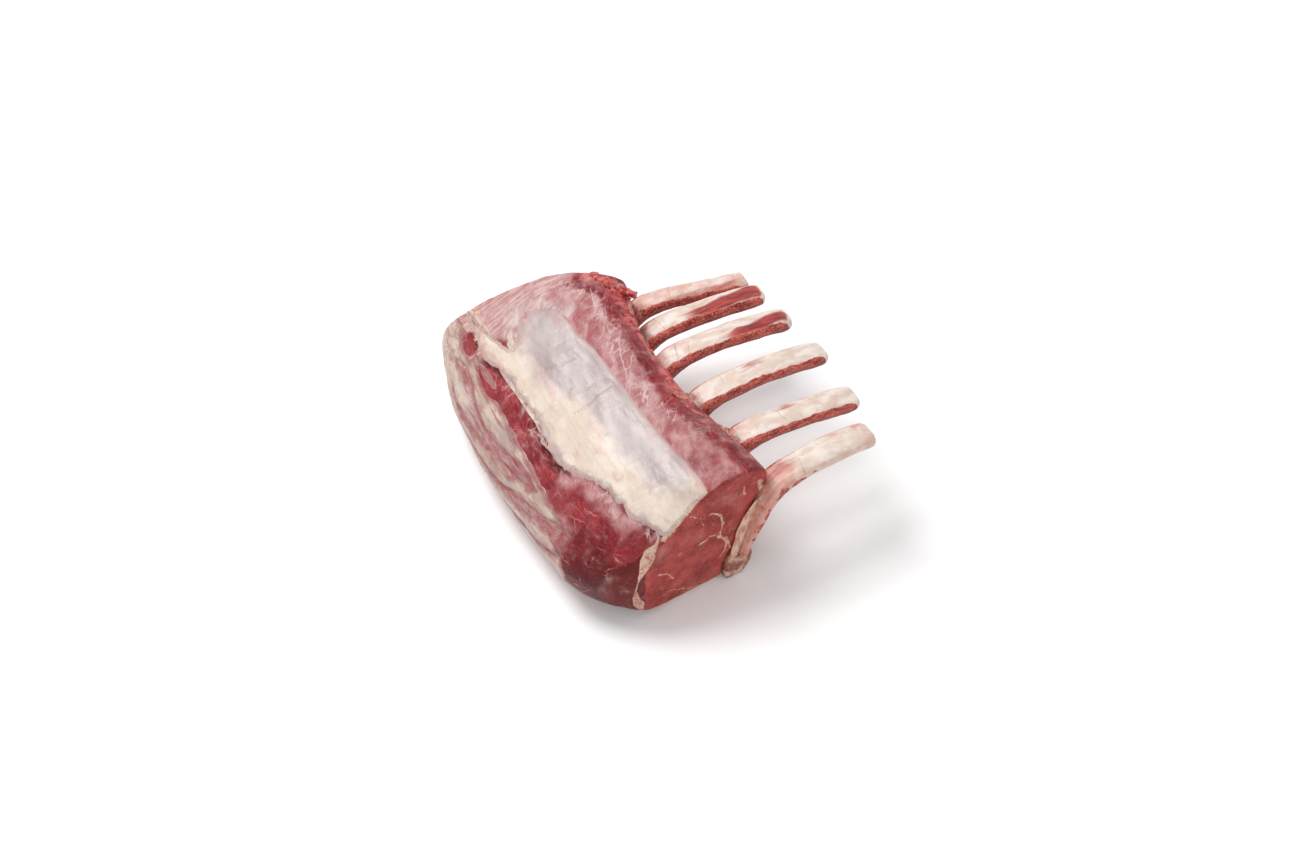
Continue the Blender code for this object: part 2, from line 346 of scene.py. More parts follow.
# %% Edges of the fat cover
# Points of x and girth.
SILVER_EDGE = [
    (-140, 74), (-40, 74), (-22, 72), (10, 72), (55, 73), (75, 73), (94, 72), (127, 70), (140, 70),
]
COVER_BACK = [
    (-140, 128), (-128, 136), (-113, 137), (-102, 136), (-90, 141), (-75, 141), (-64, 134),
    (-33, 131), (-10, 132), (0, 131), (8, 137), (25, 141), (40, 140), (50, 136), (62, 128),
    (76, 122), (87, 121), (99, 120), (109, 119), (118, 117), (128, 111), (136, 104),
]
# Points of girth and x: this edge runs round the body.
FAR_EDGE = [
    (60, -58), (74, -62), (80, -80), (91, -81), (99, -78), (105, -72), (113, -68), (118, -72),
    (122, -90), (126, -115), (131, -140), (160, -150),
]
DARK_GAPS = [(3, 134), (13, 136), (23, 140), (31, 144), (38, 142), (51, 138)]
LAP_ON_FACE = 4.6     # width of the cover's rim on the cut face
LAP_ON_END = 2.6      # and on the far end


def cover_depth(place):
    """Distance inside the fat cover's edge, positive inside, with its torn outline."""
    points = place.points
    shreds = np.abs(layered(points * (1, 0.6, 0.6), 15, 3))
    tear = 6.5 * shreds - 1.6 + 1.5 * np.abs(ripple(points, 6, 7)) + 0.5 * ripple(points, 4, 4)
    rib = place.lap(SILVER_EDGE) + 0.8 * layered(points * (0.4, 1, 1), 9, 5)
    back = -place.lap(COVER_BACK) + tear
    far = place.x - line_at(FAR_EDGE, place.girth) + 2 * tear
    depth = np.minimum(np.minimum(rib, back), far)
    for n, (x, girth) in enumerate(DARK_GAPS):
        gap = -place.spot(x, girth, 5 + n % 3, 1.4) + 0.7 + 1.8 * ripple(points, 4, 9)
        depth = np.minimum(depth, gap)
    band = LAP_ON_FACE * between(place.girth, 76, 118, 34) - below_rim(place)
    band += 0.8 * layered(points, 7, 6)
    depth = np.where(place.face > 0.5, np.minimum(depth + 4, band), depth)
    end_band = LAP_ON_END + 1.2 * layered(points, 9, 8) - below_end_rim(place)
    return np.where(place.end > 0.5, np.minimum(depth, end_band), depth)


cover = cover_depth(where)
print("the cover lies on", int((cover > 0).sum()), "points")

# %% [markdown]
# ## Where the back's fat ends
# Below the cover a strip of dark raw muscle lies bare. Then the back's own thin fat begins,
# parted into lobes by red streaks, where the muscle shows between them. At the far left a
# tongue of fat reaches into the strip, and beside it a window in the fat shows the red below.

# %% Edges of the back's fat
# Points of x and girth.
STRIP_FOOT = [
    (-140, 141), (-88, 141), (-79, 142), (-75, 149), (-52, 152), (-42, 147), (-25, 149), (0, 150),
    (20, 153), (40, 157), (66, 159), (86, 164), (100, 168), (110, 178), (120, 190), (140, 200),
]
STREAKS = [
    [(-111, 166), (-89, 158), (-76, 160), (-60, 165), (-33, 168), (-19, 167), (1, 163), (34, 160)],
    [(-100, 178), (-69, 178), (-45, 176), (-18, 171), (17, 167), (43, 161)],
    [(-60, 187), (-21, 183), (9, 180), (37, 179), (64, 172), (87, 163)],
    [(10, 178), (35, 173), (54, 171), (78, 163)],
    [(0, 192), (30, 189), (60, 186), (88, 178)],
]
FAT_END_X = 80        # the fat ends here, well before the cut face
FOOT_Z = 9            # and this high over the table
BACK_LAP = 4.5        # width of its rim on the far end


def back_fat_depth(place):
    """Distance inside the back's thin fat, with the red streaks let through."""
    points = place.points
    tear = 5.5 * np.abs(layered(points * (0.5, 1, 1), 16, 13)) - 1.5 + 0.5 * ripple(points, 4, 14)
    top = place.lap(STRIP_FOOT) + tear
    end = FAT_END_X - place.x + 0.7 * (place.girth - 170) + 2.4 * tear
    foot = np.minimum(place.z - FOOT_Z, -0.8 * (place.y + 78)) + tear
    depth = np.minimum(np.minimum(top, end), foot)
    end_band = BACK_LAP + 2 * layered(points, 12, 15) - below_end_rim(place)
    depth = np.where(place.end > 0.5, np.minimum(depth, end_band), depth)
    tongue = place.spot(-66, 144, 17, 3.4) + 0.5 * tear
    window = place.spot(-103, 145, 13, 6) + 0.8 * tear
    depth = np.minimum(np.maximum(depth, tongue), -window)
    for n, streak in enumerate(STREAKS):
        wide = 0.4 + 1.3 * ripple(points * (1, 0.3, 0.3), 13, 20 + n)
        ends = 12 * (1 - between(place.x, streak[0][0], streak[-1][0], 20))
        off = np.abs(place.lap(streak) + 0.8 * ripple(points, 7, 30 + n))
        depth = np.minimum(depth, off - wide + ends)
    return np.where(place.face > 0.4, -9, depth)


back_fat = back_fat_depth(where)
print("the back's fat lies on", int((back_fat > 0).sum()), "points")

# %% [markdown]
# ## The meat's relief
# The relief has three sources. Broad swells follow the muscles under the skin. Grooves run
# along the streaks and under the torn edge, where one muscle ends and the next begins. Under
# the fat the meat steps down by the fat's thickness, so that the fat on top lies flush.

# %% Carve the flesh
# Slits of the knife across the cover, as points of x and girth.
KNIFE_LINES = [
    [(16, 107), (18, 99), (16, 88), (16, 77)],
    [(122, 77), (133, 75)],
    [(-30, 104), (-24, 95), (-22, 84)],
]
COVER_SUNK = 1.9      # how far the meat steps down under the fat cover
BACK_SUNK = 1.2       # and under the back's fat
COVER_RUN = 6         # width of the slope down to it, under the cover
BACK_RUN = 4          # and under the back's fat
AXIS_REACH = 62       # the crown's distance from the line that girth is measured round
CUT_EDGE = 4          # how far the cut face's lower edge is drawn in
EDGE_HEIGHT = 12      # up to this height


def knife_cut(place, width):
    """1 on the knife's slits across the cover, each a path on the map laid flat in millimetres."""
    flat = np.stack([place.x, place.girth * np.radians(AXIS_REACH)], 1)
    paths = [[(x, girth * np.radians(AXIS_REACH)) for x, girth in path] for path in KNIFE_LINES]
    return np.max([near_path(flat, path, width) for path in paths], axis=0)


def dark_gaps(place, long, wide, run):
    """1 in the dark gaps under the torn edge, of a given half length and half width."""
    ragged = ripple(place.points, 4, 9)
    gaps = [soft((place.spot(x, girth + 1, long, wide) + ragged) / run) for x, girth in DARK_GAPS]
    return np.max(gaps, axis=0)


def sunk_under(depth, full, run):
    """How far the meat lies below the even skin, going inward from a fat's edge."""
    return full * soft((depth + 0.5) / run)


def meat_height(place):
    """How far the bare meat rises above the even skin."""
    points = place.points
    outside = (1 - place.face) * (1 - place.end)
    swell = 0.9 * ripple(points, 34, 40) + 0.5 * layered(points * (0.45, 1, 1), 13, 41)
    fine = 0.25 * layered(points * (0.3, 1, 1), 4.5, 44)
    strands = 0.4 - np.abs(layered(points * (1, 0.22, 0.3), 6, 45))
    striae = 0.35 * strands * between(place.girth, 44, 116, 12)
    strip = between(place.lap(COVER_BACK), 0, 26, 6)
    lobes = 1.2 * ripple(points * (0.45, 1, 1), 12, 46) * strip
    grooves = sum(place.near(streak, 5) for streak in STREAKS)
    under_edge = place.near(COVER_BACK, 6)
    holes = dark_gaps(place, 8, 3, 2.5)
    height = (swell + fine + striae + lobes - 1.9 * grooves - 1.5 * under_edge - 2.2 * holes) * outside
    height += (place.face + place.end) * (0.35 * layered(points, 11, 48) + 0.1 * ripple(points, 3, 49))
    cover_step = sunk_under(cover, COVER_SUNK, COVER_RUN) * (0.35 + 0.65 * outside)
    height -= cover_step + sunk_under(back_fat, BACK_SUNK, BACK_RUN)
    return height * soft(place.z / 4)


flesh_normals = normals_of(flesh.data)
relief = meat_height(where)
carved = flesh_points + flesh_normals * relief[:, None]
near_table = soft((EDGE_HEIGHT - carved[:, 2]) / EDGE_HEIGHT)
near_cut = soft((carved[:, 0] - CUT_X + FACE_DEPTH) / FACE_DEPTH)
carved[:, 0] -= CUT_EDGE * (near_table * near_cut) ** 2
carved = held_in(carved)
move_points(flesh.data, carved)
carved_normals = normals_of(flesh.data)
print("carved from", round(float(relief.min()), 1), "to", round(float(relief.max()), 1), "mm")

# %% [markdown]
# ## Two muscles and the seam between them
# The butcher's cut shows that the body is two muscles with a wall of fat between. The wall's
# place is read from the solids: a ray from each side finds where the loin and the back muscle
# face each other. The wall is lofted through those places and widened at the cut face into the
# pad of fat that shows there. Booleans then take it out of the flesh, which falls in two.

# %% The wall's outline
# Its height, its y and half its thickness where it meets the cut face.
FACE_SEAM = [
    (-10, -80, 0.5), (6, -82, 0.6), (14, -84, 2.0), (24, -86.5, 3.4), (31, -88, 2.8),
    (38, -88, 0.6), (47, -86, 0.6), (53, -84, 2.0), (59, -81, 4.0), (66, -78, 5.4),
    (71, -75, 4.2), (76, -71, 1.0), (90, -62, 0.6), (125, -58, 0.6),
]
WALL_THICK = 2.6      # of the wall behind the cut face
PAD_START = 112       # from here to the cut face the wall widens into its pad


def seam_middles(x, heights):
    """The seam's y at each height, from a line fitted between the two muscles."""
    graph = bpy.context.evaluated_depsgraph_get()
    loin_side = BVHTree.FromObject(nodes["loin_muscle"], graph)
    back_side = BVHTree.FromObject(nodes["back_muscle"], graph)
    seen = []
    for height in range(12, 72, 6):
        from_back = loin_side.ray_cast(Vector((x, -300, height)) * MM, Vector((0, 1, 0)))[0]
        from_ribs = back_side.ray_cast(Vector((x, 300, height)) * MM, Vector((0, -1, 0)))[0]
        if from_back and from_ribs:
            seen.append((height, (from_back.y + from_ribs.y) / 2 / MM))
    slope, start = np.polyfit(*zip(*seen), 1)
    return start + slope * heights


def wall_ring(x):
    """The wall's outline at one x: up one of its sides and down the other."""
    heights = np.arange(-10, 126, 1.5)
    middle = seam_middles(min(max(x, FAR_X + 18), CUT_X - 6), heights)
    near_face = soft((x - 26) / 48)
    face_y, face_half = (np.interp(heights, *np.array(FACE_SEAM)[:, [0, k]].T) for k in (1, 2))
    spots = np.stack([np.full_like(heights, x), middle, heights], 1)
    middle = middle + (face_y - middle) * near_face + 1.3 * layered(spots, 14, 60)
    half = WALL_THICK / 2 + (face_half - WALL_THICK / 2) * soft((x - PAD_START) / 16)
    half = np.maximum(half * (1 + 0.7 * layered(spots, 7, 61)), 0.4)
    up = np.stack([spots[:, 0], middle - half, heights], 1)
    down = np.stack([spots[:, 0], middle + half, heights], 1)
    return np.concatenate([up, down[::-1]])


wall_rings = [wall_ring(x) for x in [*range(-165, PAD_START, 8), *range(PAD_START, 150, 3)]]
print("the wall has", len(wall_rings), "outlines of", len(wall_rings[0]), "points")

# %% [markdown]
# ## Skin through the outlines
# A row of outlines with equal counts of points becomes a closed surface when each is joined to
# the next by quads and the two ends are capped. The same step will make the wall of fat, the
# loose leaves of meat and the strip of fat at the last rib.


# %% Loft
def loft(name, rings):
    """A closed surface through rings with equal counts of points."""
    count, last = len(rings[0]), len(rings) - 1
    faces = []
    for start in range(0, last * count, count):
        for a in range(count):
            b = (a + 1) % count
            faces.append((start + a, start + b, start + count + b, start + count + a))
    faces += [range(count)[::-1], range(last * count, last * count + count)]
    obj = mesh_from(name, np.concatenate(rings), faces)
    bm = bmesh.new()
    bm.from_mesh(obj.data)
    bmesh.ops.recalc_face_normals(bm, faces=bm.faces)
    bm.to_mesh(obj.data)
    bm.free()
    return obj


wall = loft("wall", wall_rings)
print("the wall has", len(wall.data.polygons), "faces")

# %% [markdown]
# ## The flesh falls in two
# A Boolean takes the wall out of the flesh, and another keeps only what the two share, which is
# the seam of fat. What is left of the flesh is one mesh of unconnected bodies, so the two
# largest are copied out: the loin and the back muscle.


# %% Part the muscles
def combined(obj, other, operation, name):
    """A new object: obj with other cut from it, or only what the two share."""
    made = new_object(name, obj.data.copy())
    step = made.modifiers.new("combine", "BOOLEAN")
    step.operation, step.object, step.solver = operation, other, "MANIFOLD"
    return settle(made)


def body_labels(mesh):
    """A number for each point, the same for all points of one connected body."""
    pairs = neighbours(mesh)
    label = np.arange(len(mesh.vertices))
    while True:
        lower = label.copy()
        np.minimum.at(lower, pairs[:, 0], label[pairs[:, 1]])
        lower = lower[lower]
        if (lower == label).all():
            return label
        label = lower


def largest_bodies(obj, names):
    """Copies of the largest bodies of a mesh, one for each name, the largest first."""
    label = body_labels(obj.data)
    kinds, sizes = np.unique(label, return_counts=True)
    for name, kind in zip(names, kinds[np.argsort(-sizes)]):
        bm = bmesh.new()
        bm.from_mesh(obj.data)
        bmesh.ops.delete(bm, geom=[v for v, k in zip(bm.verts, label) if k != kind], context="VERTS")
        mesh = bpy.data.meshes.new(name)
        bm.to_mesh(mesh)
        bm.free()
        yield new_object(name, mesh)


parted = combined(flesh, wall, "DIFFERENCE", "parted")
seam = combined(flesh, wall, "INTERSECT", "seam")
loin, back_muscle = largest_bodies(parted, ["loin", "back_meat"])
for piece in (loin, back_muscle, seam):
    print(piece.name, "has", len(piece.data.vertices), "points")

# %% [markdown]
# ## Fat as a skin over the meat
# The fat is thin and follows the meat, so it is grown from the meat's own skin: the squares
# inside its edge are copied and raised by the fat's thickness, and a second layer below closes
# the sheet. At its edge the sheet dips under the meat, so its outline is where the two
# surfaces cross: as fine and as ragged as the noise in its depth.

# %% Grow the fat
# The cover is silverskin on the ribs' side of this line of x and girth, and cream fat behind it.
CREAM_LINE = [
    (-140, 112), (-60, 103), (-41, 110), (-30, 110), (-11, 105), (13, 99), (47, 95), (64, 98),
    (99, 96), (115, 90), (136, 82),
]
UNDER = 1.5           # the sheet's second layer lies this far below the meat
MARGIN = 2.4          # how far the sheet runs on under the meat, past its edge


def grown_sheet(name, depth, height):
    """A closed sheet over the squares of flesh where depth is above -MARGIN."""
    squares = corners_of(flesh.data)
    squares = squares[(depth[squares] > -MARGIN).all(1)]
    used = np.unique(squares)
    number = np.full(len(depth), -1)
    number[used] = np.arange(len(used))
    squares = number[squares]
    top = carved[used] + carved_normals[used] * height[used][:, None]
    bottom = carved[used] - carved_normals[used] * UNDER
    steps = np.concatenate([squares[:, [k, (k + 1) % 4]] for k in range(4)])
    both = {tuple(step) for step in steps.tolist()}
    rim = np.array([step for step in steps.tolist() if (step[1], step[0]) not in both])
    count = len(used)
    sides = np.stack([rim[:, 1], rim[:, 0], rim[:, 0] + count, rim[:, 1] + count], 1)
    points = held_in(np.concatenate([top, bottom]))
    return mesh_from(name, points, np.concatenate([squares, squares[:, ::-1] + count, sides])), used


def risen(depth, sunk, proud, run):
    """Height of the fat's top over the meat: proud of the even skin inside, under it outside."""
    return sunk - 0.35 + (0.35 + proud) * soft((depth + 0.4) / run)


def cover_height(place):
    """The fat cover's height over the meat: pebbled and proud where creamy, flush as silverskin."""
    points = place.points
    creamy = soft((place.lap(CREAM_LINE) + 10) / 20)
    proud = 0.1 + creamy * (0.75 + 0.8 * layered(points, 20, 70) + 0.14 * layered(points, 5, 71))
    proud += (1 - creamy) * 0.2 * layered(points * (0.3, 1, 1), 10, 72)
    proud -= 0.55 * knife_cut(place, 1.3)
    sunk = sunk_under(cover, COVER_SUNK, COVER_RUN)
    height = risen(cover, sunk, proud, 1.2 + 1.6 * creamy)
    on_face = risen(cover, 0.35 * sunk, 0.12 + 0.1 * ripple(points, 4, 73), 1)
    return np.where(place.face > 0.5, on_face, height)


def back_height(place):
    """The back fat's height over the meat, in long low swells."""
    points = place.points
    proud = 0.35 + 0.5 * layered(points * (0.35, 1, 1), 12, 80) + 0.2 * layered(points, 4, 81)
    return risen(back_fat, sunk_under(back_fat, BACK_SUNK, BACK_RUN), proud, 2.2)


fat_cover, cover_points = grown_sheet("fat_skin", cover, cover_height(where))
back_sheet, back_points = grown_sheet("back_fat_skin", back_fat, back_height(where))
print("fat cover", len(cover_points), "back fat", len(back_points), "points on top")

# %% [markdown]
# ## Bare ribs
# Each rib is a flat bar of bone, scraped white on top, with a strip of dark meat left on its
# sides. Like the body it gets an even skin first. Its own map has three numbers: how far a
# point lies from the tip along the bone, how far above its middle, and how far to the side.

# %% Even skins and a map for each rib
RIB_STEP = 0.8        # size of the squares of a rib's skin
RIB_COUNT = 6
RIB_ROUNDS = 16       # rounds of averaging
SLICE = 4             # the rib's middle is read from slices this thick
FULL_SLICE = 40       # points in a slice, below which it is only a tip's corner
STATIONS = 300        # stations along the middle


class RibPlace:
    """Where each point of a rib lies: from the tip, above the middle and to the side."""

    def __init__(self, points):
        self.points = points
        slices = np.floor((points[:, 1] + points[:, 2]) / SLICE).astype(int)
        slices -= slices.min()
        counts = np.bincount(slices)
        full = counts > FULL_SLICE
        sums = np.stack([np.bincount(slices, points[:, axis]) for axis in range(3)], 1)
        middles = sums[full] / counts[full][:, None]
        lengths = np.r_[0, np.cumsum(np.linalg.norm(np.diff(middles, axis=0), axis=1))]
        fine = np.linspace(0, lengths[-1], STATIONS)
        spine = np.stack([np.interp(fine, lengths, middles[:, axis]) for axis in range(3)], 1)
        along = np.gradient(spine, axis=0)
        along /= np.linalg.norm(along, axis=1)[:, None]
        nearest = np.array([np.argmin(((spine - point) ** 2).sum(1)) for point in points])
        offset = points - spine[nearest]
        self.spine, self.upward = spine, np.cross((1, 0, 0), along)
        self.lengths = lengths[-1] - fine
        self.from_tip = self.lengths[nearest] - (offset * along[nearest]).sum(1)
        self.lift = (offset * self.upward[nearest]).sum(1)
        self.side = offset[:, 0]
        self.half_width = np.percentile(np.abs(self.side), 99)

    def at(self, from_tip):
        """The middle of the bone at a distance from its tip."""
        stations = -self.lengths
        return np.array([np.interp(-from_tip, stations, self.spine[:, axis]) for axis in range(3)])


ribs = [
    even_skin(f"rib_bone_{k}", [f"rib_{k}"], RIB_STEP, 0, RIB_ROUNDS) for k in range(1, RIB_COUNT + 1)
]
rib_places = [RibPlace(points_of(rib.data)) for rib in ribs]
for rib, place in zip(ribs, rib_places):
    print(rib.name, "has", len(place.points), "points,", round(float(place.lengths[0])), "mm long")

# %% [markdown]
# ## Where each rib leaves the meat
# The knife marks and the shreds of meat gather where a rib comes out of the body. Going inward
# from the tip, that is the first place where a line just over the bone's middle meets the skin
# of the meat. The last rib lies against the cut face, so its line counts as met further out.

# %% The bared lengths
OVER_BONE = 5         # height of the line over the bone's middle
REACH, LAST_REACH = 1.5, 9
meat_skin = BVHTree.FromPolygons(carved.tolist(), corners_of(flesh.data).tolist())


def root_station(place, reach):
    """The first station from the tip where the line over the bone is within reach of the meat."""
    for station in reversed(range(len(place.spine))):
        over = Vector(place.spine[station] + OVER_BONE * place.upward[station])
        nearest, out, *_ = meat_skin.find_nearest(over)
        if (over - nearest).dot(out) < reach:
            return station
    return 0


for rib, place in zip(ribs, rib_places):
    place.root = root_station(place, LAST_REACH if rib is ribs[-1] else REACH)
    place.bared = float(place.lengths[place.root])
    print(rib.name, "is bare for", round(place.bared), "mm")

# %% [markdown]
# ## What the knife left on the ribs
# The strip of meat stands a little proud of the bone and its upper border is ragged. The last
# rib was sawn along its near side, so it shows spots of marrow there instead. Near the body the
# knife crossed the bone several times and left shallow nicks. Every rib gets its own random
# wander from its number, so that no two ribs match.

# %% Carve the ribs
# The spots of marrow along the last rib's sawn side, from the tip.
MARROW_SPOTS = (54, 64, 70, 80, 86, 97, 103, 112, 118, 127)
NICKS = 9             # nicks tried on each rib; every third is deep
NICK_DEPTH = 0.4


def meat_on_bone(place, k):
    """How far inside the strip of side meat a point lies, in millimetres."""
    points = place.points
    shoulder = place.half_width - np.where(place.side > 0, 3.0, 0.6)
    shoulder -= 1.3 * layered(points * (1, 0.7, 0.7), 12, 100 + k) + 0.5 * ripple(points, 4, 110 + k)
    near_body = soft((place.from_tip - place.bared + 30) / 30)
    near_tip = soft((7 - place.from_tip) / 9)
    shoulder -= 3.0 * near_body - 2.5 * near_tip
    inside = np.abs(place.side) - shoulder
    if k < RIB_COUNT:
        return inside
    height = place.lift - 0.4 - 1.6 * ripple(points, 11, 116)
    spots = []
    for n, spot in enumerate(MARROW_SPOTS):
        radius = 1.3 + 0.5 * (n * 5 % 4)
        spots.append(radius - np.hypot((place.from_tip - spot) / 1.5, height / 0.8))
    sawn = np.maximum(np.max(spots, axis=0) + 0.4 * ripple(points, 3, 115), -3)
    return np.where(place.side > 0, sawn, inside)


def nicks(place, k):
    """1 in the knife's nicks across the top of the bone."""
    slant = 0.25 * place.side * ((k % 3) - 1) + 0.8 * ripple(place.points, 9, 120 + k)
    made = []
    for n in range(NICKS):
        cut = place.bared - 10 - 7 * n - 4 * ((n * 7 + k * 5) % 4)
        deep = 0.2 + 0.8 * ((n + k) % 3 == 0)
        made.append(soft(1 - np.abs(place.from_tip + slant - cut) / 0.8) * deep)
    fade = soft((place.from_tip - 40) / 25) * soft(0.8 + ripple(place.points, 8, 125 + k))
    return np.max(made, axis=0) * soft((place.lift - 2) / 3) * fade


for k, (rib, place) in enumerate(zip(ribs, rib_places), 1):
    points = place.points
    meat = meat_on_bone(place, k)
    height = 0.5 * ripple(points, 20, 130 + k) + 0.3 * layered(points * (1, 0.5, 1), 7, 140 + k)
    proud = 0.35 + 0.35 * layered(points * (1, 0.4, 0.6), 6, 150 + k)
    height += soft((meat + 0.4) / 1.6) * (proud if k < RIB_COUNT else -0.6 * (place.side > 0))
    height -= NICK_DEPTH * nicks(place, k)
    move_points(rib.data, held_in(points + normals_of(rib.data) * height[:, None]))
    print(rib.name, "carved by up to", round(float(np.abs(height).max()), 1), "mm")

# %% [markdown]
# ## The sawn chine
# The saw went through the spine's bodies and left spongy bone. Many rounds of averaging take
# the solid's sharp corners off, and noise then sinks pores into it. Its swells are held down,
# so that the saw's flat plane still reads.

# %% Chine
CHINE_STEP = 1.0      # size of the squares of its skin
CHINE_ROUNDS = 30     # rounds of averaging
chine = even_skin("sawn_chine", ["chine"], CHINE_STEP, 0, CHINE_ROUNDS)
chine_points = points_of(chine.data)
spongy = 0.5 * layered(chine_points, 5, 160) + 0.5 * ripple(chine_points, 2.4, 163)
chine_points += normals_of(chine.data) * np.minimum(spongy, 0.3)[:, None]
move_points(chine.data, held_in(chine_points))
print("chine of", len(chine_points), "points")

# %% [markdown]
# ## One loose leaf
# A knife leaves loose ends: flaps of red meat, a tuft, shreds of fat. Each is a thin leaf,
# lofted along its length and pointed at both ends, which rises from the skin in the middle and
# dips into it at its tips. Noise bends, narrows and curls it, so no two leaves match.

# %% A leaf
LEAF_ROWS, LEAF_TURNS = 14, 12
LEAF_ANGLES = np.arange(LEAF_TURNS) / LEAF_TURNS * 2 * math.pi
LEAF_DIP = 0.5        # how far its tips lie under the skin


def leaf(middle, out, along, sizes, seed, thick=0.7):
    """A thin wavy leaf centred over a point, with out as the skin's normal there."""
    length, width, rise = sizes
    along = along - out * (along @ out)
    along /= np.linalg.norm(along)
    across = np.cross(out, along)
    rings = []
    for row in range(1, LEAF_ROWS):
        share = row / LEAF_ROWS
        taper = math.sin(math.pi * share) ** 0.45
        bend = np.array([[share * length, seed * 7.3, 0]])
        sway = width * 0.5 * float(ripple(bend, length / 2.5, seed)[0])
        lift = rise * taper - LEAF_DIP
        heart = middle + along * length * (share - 0.5) + across * sway + out * lift
        half = 0.5 * width * taper * (1 + 0.45 * float(ripple(bend, length / 5, seed + 1)[0]))
        curl = 0.35 * half * np.cos(2 * LEAF_ANGLES) * float(ripple(bend, length / 3, seed + 2)[0])
        height = np.sin(LEAF_ANGLES) * thick * (0.3 + 0.7 * taper) + curl
        ring = np.outer(np.cos(LEAF_ANGLES) * half, across) + np.outer(height, out)
        rings.append(held_in(heart + ring))
    return loft("leaf", rings)


print("a leaf has", (LEAF_ROWS - 1) * LEAF_TURNS, "points")

# %% [markdown]
# ## Flaps along the edges
# Flaps of red meat lie along the line where the rib side begins, and shreds of fat along the
# cover's far edge. They are spread along a line of the map: each leaf's place is the skin's
# point nearest to a spot on that line, and its size and turn wander by chance.

# %% Leaves along a line
# Points of x and girth: the edge above the ribs, and two edges of the fat.
ROOT_EDGE = [
    (-140, 52), (-86, 55), (-67, 46), (-34, 48), (-10, 46), (23, 50), (60, 53), (73, 48),
    (87, 48), (103, 45), (140, 44),
]
ARM_LINE = [(-140, 121), (-118, 125), (-104, 131), (-90, 131), (-78, 125), (-66, 122)]
FLAP_LINE = [(-78, 108), (-62, 114), (-46, 118)]


def skin_at(x, girth):
    """The carved skin's point and normal nearest to a spot on the map."""
    gap = np.hypot(where.x - x, (where.girth - girth) * np.radians(where.reach)) + 50 * where.face
    nearest = np.argmin(gap)
    return carved[nearest], carved_normals[nearest]


def leaves_along(line, count, girths, sizes, seed, tilt=0.5):
    """Leaves spread along a line of (x, girth) points, with sizes as length, width and rise."""
    made = []
    for n in range(count):
        chance = chances((n * 3.7, 0.5, 9.1), 1.3, seed, 5)
        x = line[0][0] + (n + 0.5 + 0.4 * chance[0]) / count * (line[-1][0] - line[0][0])
        middle, out = skin_at(x, float(line_at(line, x)) + girths[0] + girths[1] * chance[1])
        wandered = [size * (1 + 0.4 * chance[2 + k % 2]) for k, size in enumerate(sizes)]
        along = np.array([1, tilt * chance[4] * 2, 0])
        made.append(leaf(middle, out, along, wandered, seed + n))
    return made


edge_leaves = leaves_along(ROOT_EDGE[2:10], 11, (-5, 5), (19, 7, 0.4), 300, 0.9)
print(len(edge_leaves), "flaps above the ribs")

# %% [markdown]
# ## Meat round the roots, and the tuft
# At each root but the last, a few ragged tabs of meat lie over the place where the bone comes
# out. They are placed on the bone's own map, and they are largest at the first rib. At the far
# corner a tuft of chunky leaves stands up where the knife tore the muscle.

# %% Root leaves and tuft
ROOT_LEAVES = 8       # at each rib
ROOT_SPACING = 2.9
TUFT_LEAVES = 11
TUFT_START, TUFT_STEP = np.array([-82, 7, 106.5]), np.array([2.4, 1.5, -0.4])
TUFT_OUT = np.array([-0.1, 0.5, 0.85])    # the way the tuft stands up
root_leaves, tuft = [], []
for k, bone in enumerate(rib_places[:-1]):
    out = bone.upward[bone.root]
    top = float(np.percentile(bone.lift[np.abs(bone.from_tip - bone.bared) < 8], 96))
    large = 1.5 if k == 0 else 1
    for n in range(ROOT_LEAVES):
        chance = chances((n * 2.9, k * 4.1, 3.3), 1.4, 380, 4)
        outermost = n in (0, ROOT_LEAVES - 1)
        heart = bone.at(bone.bared - 3) + out * (top - 0.4 - 2 * outermost)
        heart = heart + np.array([(n - (ROOT_LEAVES - 1) / 2) * ROOT_SPACING, 3 * chance[0], 0])
        sizes = (large * (15 + 6 * chance[2]), large * (6.5 + 3 * chance[3]), 0.9 * large**2)
        along = np.array([0.5 * chance[1], 1, 0])
        root_leaves.append(leaf(heart, out, along, sizes, 380 + ROOT_LEAVES * k + n, 1))
    print("rib", k + 1, "stands", round(top, 1), "mm over its middle at the root")
for n in range(TUFT_LEAVES):
    heart = TUFT_START + n * TUFT_STEP
    along = np.array([1, 0.7 - 0.4 * (n % 3), 0])
    tuft.append(leaf(heart, TUFT_OUT, along, (12, 8.5, 1.7), 360 + n, 2))
red_leaves = edge_leaves + root_leaves + tuft
print(len(red_leaves), "red leaves")

# %% [markdown]
# ## Shreds of fat and the strip at the last rib
# A few shreds of fat lie on the cover's far arm and flap. Where the last rib's foot meets the
# cut face, a strip of fat and gristle covers the groove: it runs along the rib and is widest
# in the middle.

# %% Leaves of fat and the foot's strip
STRIP_RINGS = 30
STRIP_END = 158       # distance from the last rib's tip


def foot_strip(bone, start, end):
    """A strip of fat over the groove between the cut face and the last rib's foot."""
    beside = (CUT_X - bone.spine[0, 0] - 1.2, -7.5, 0)
    rings = []
    for share in np.linspace(0, 1, STRIP_RINGS):
        heart = bone.at(start + share * (end - start)) + beside
        spot = np.array([heart])
        taper = math.sin(math.pi * (0.06 + 0.9 * share)) ** 0.5
        half = (6 + 1.5 * float(ripple(spot, 12, 490)[0])) * taper
        thick = 1.1 + 0.4 * float(ripple(spot, 6, 491)[0])
        x, y = np.sin(LEAF_ANGLES) * thick, np.cos(LEAF_ANGLES) * half
        rings.append(heart + np.stack([x, y, y * 0.45], 1))
    return loft("foot strip", rings)


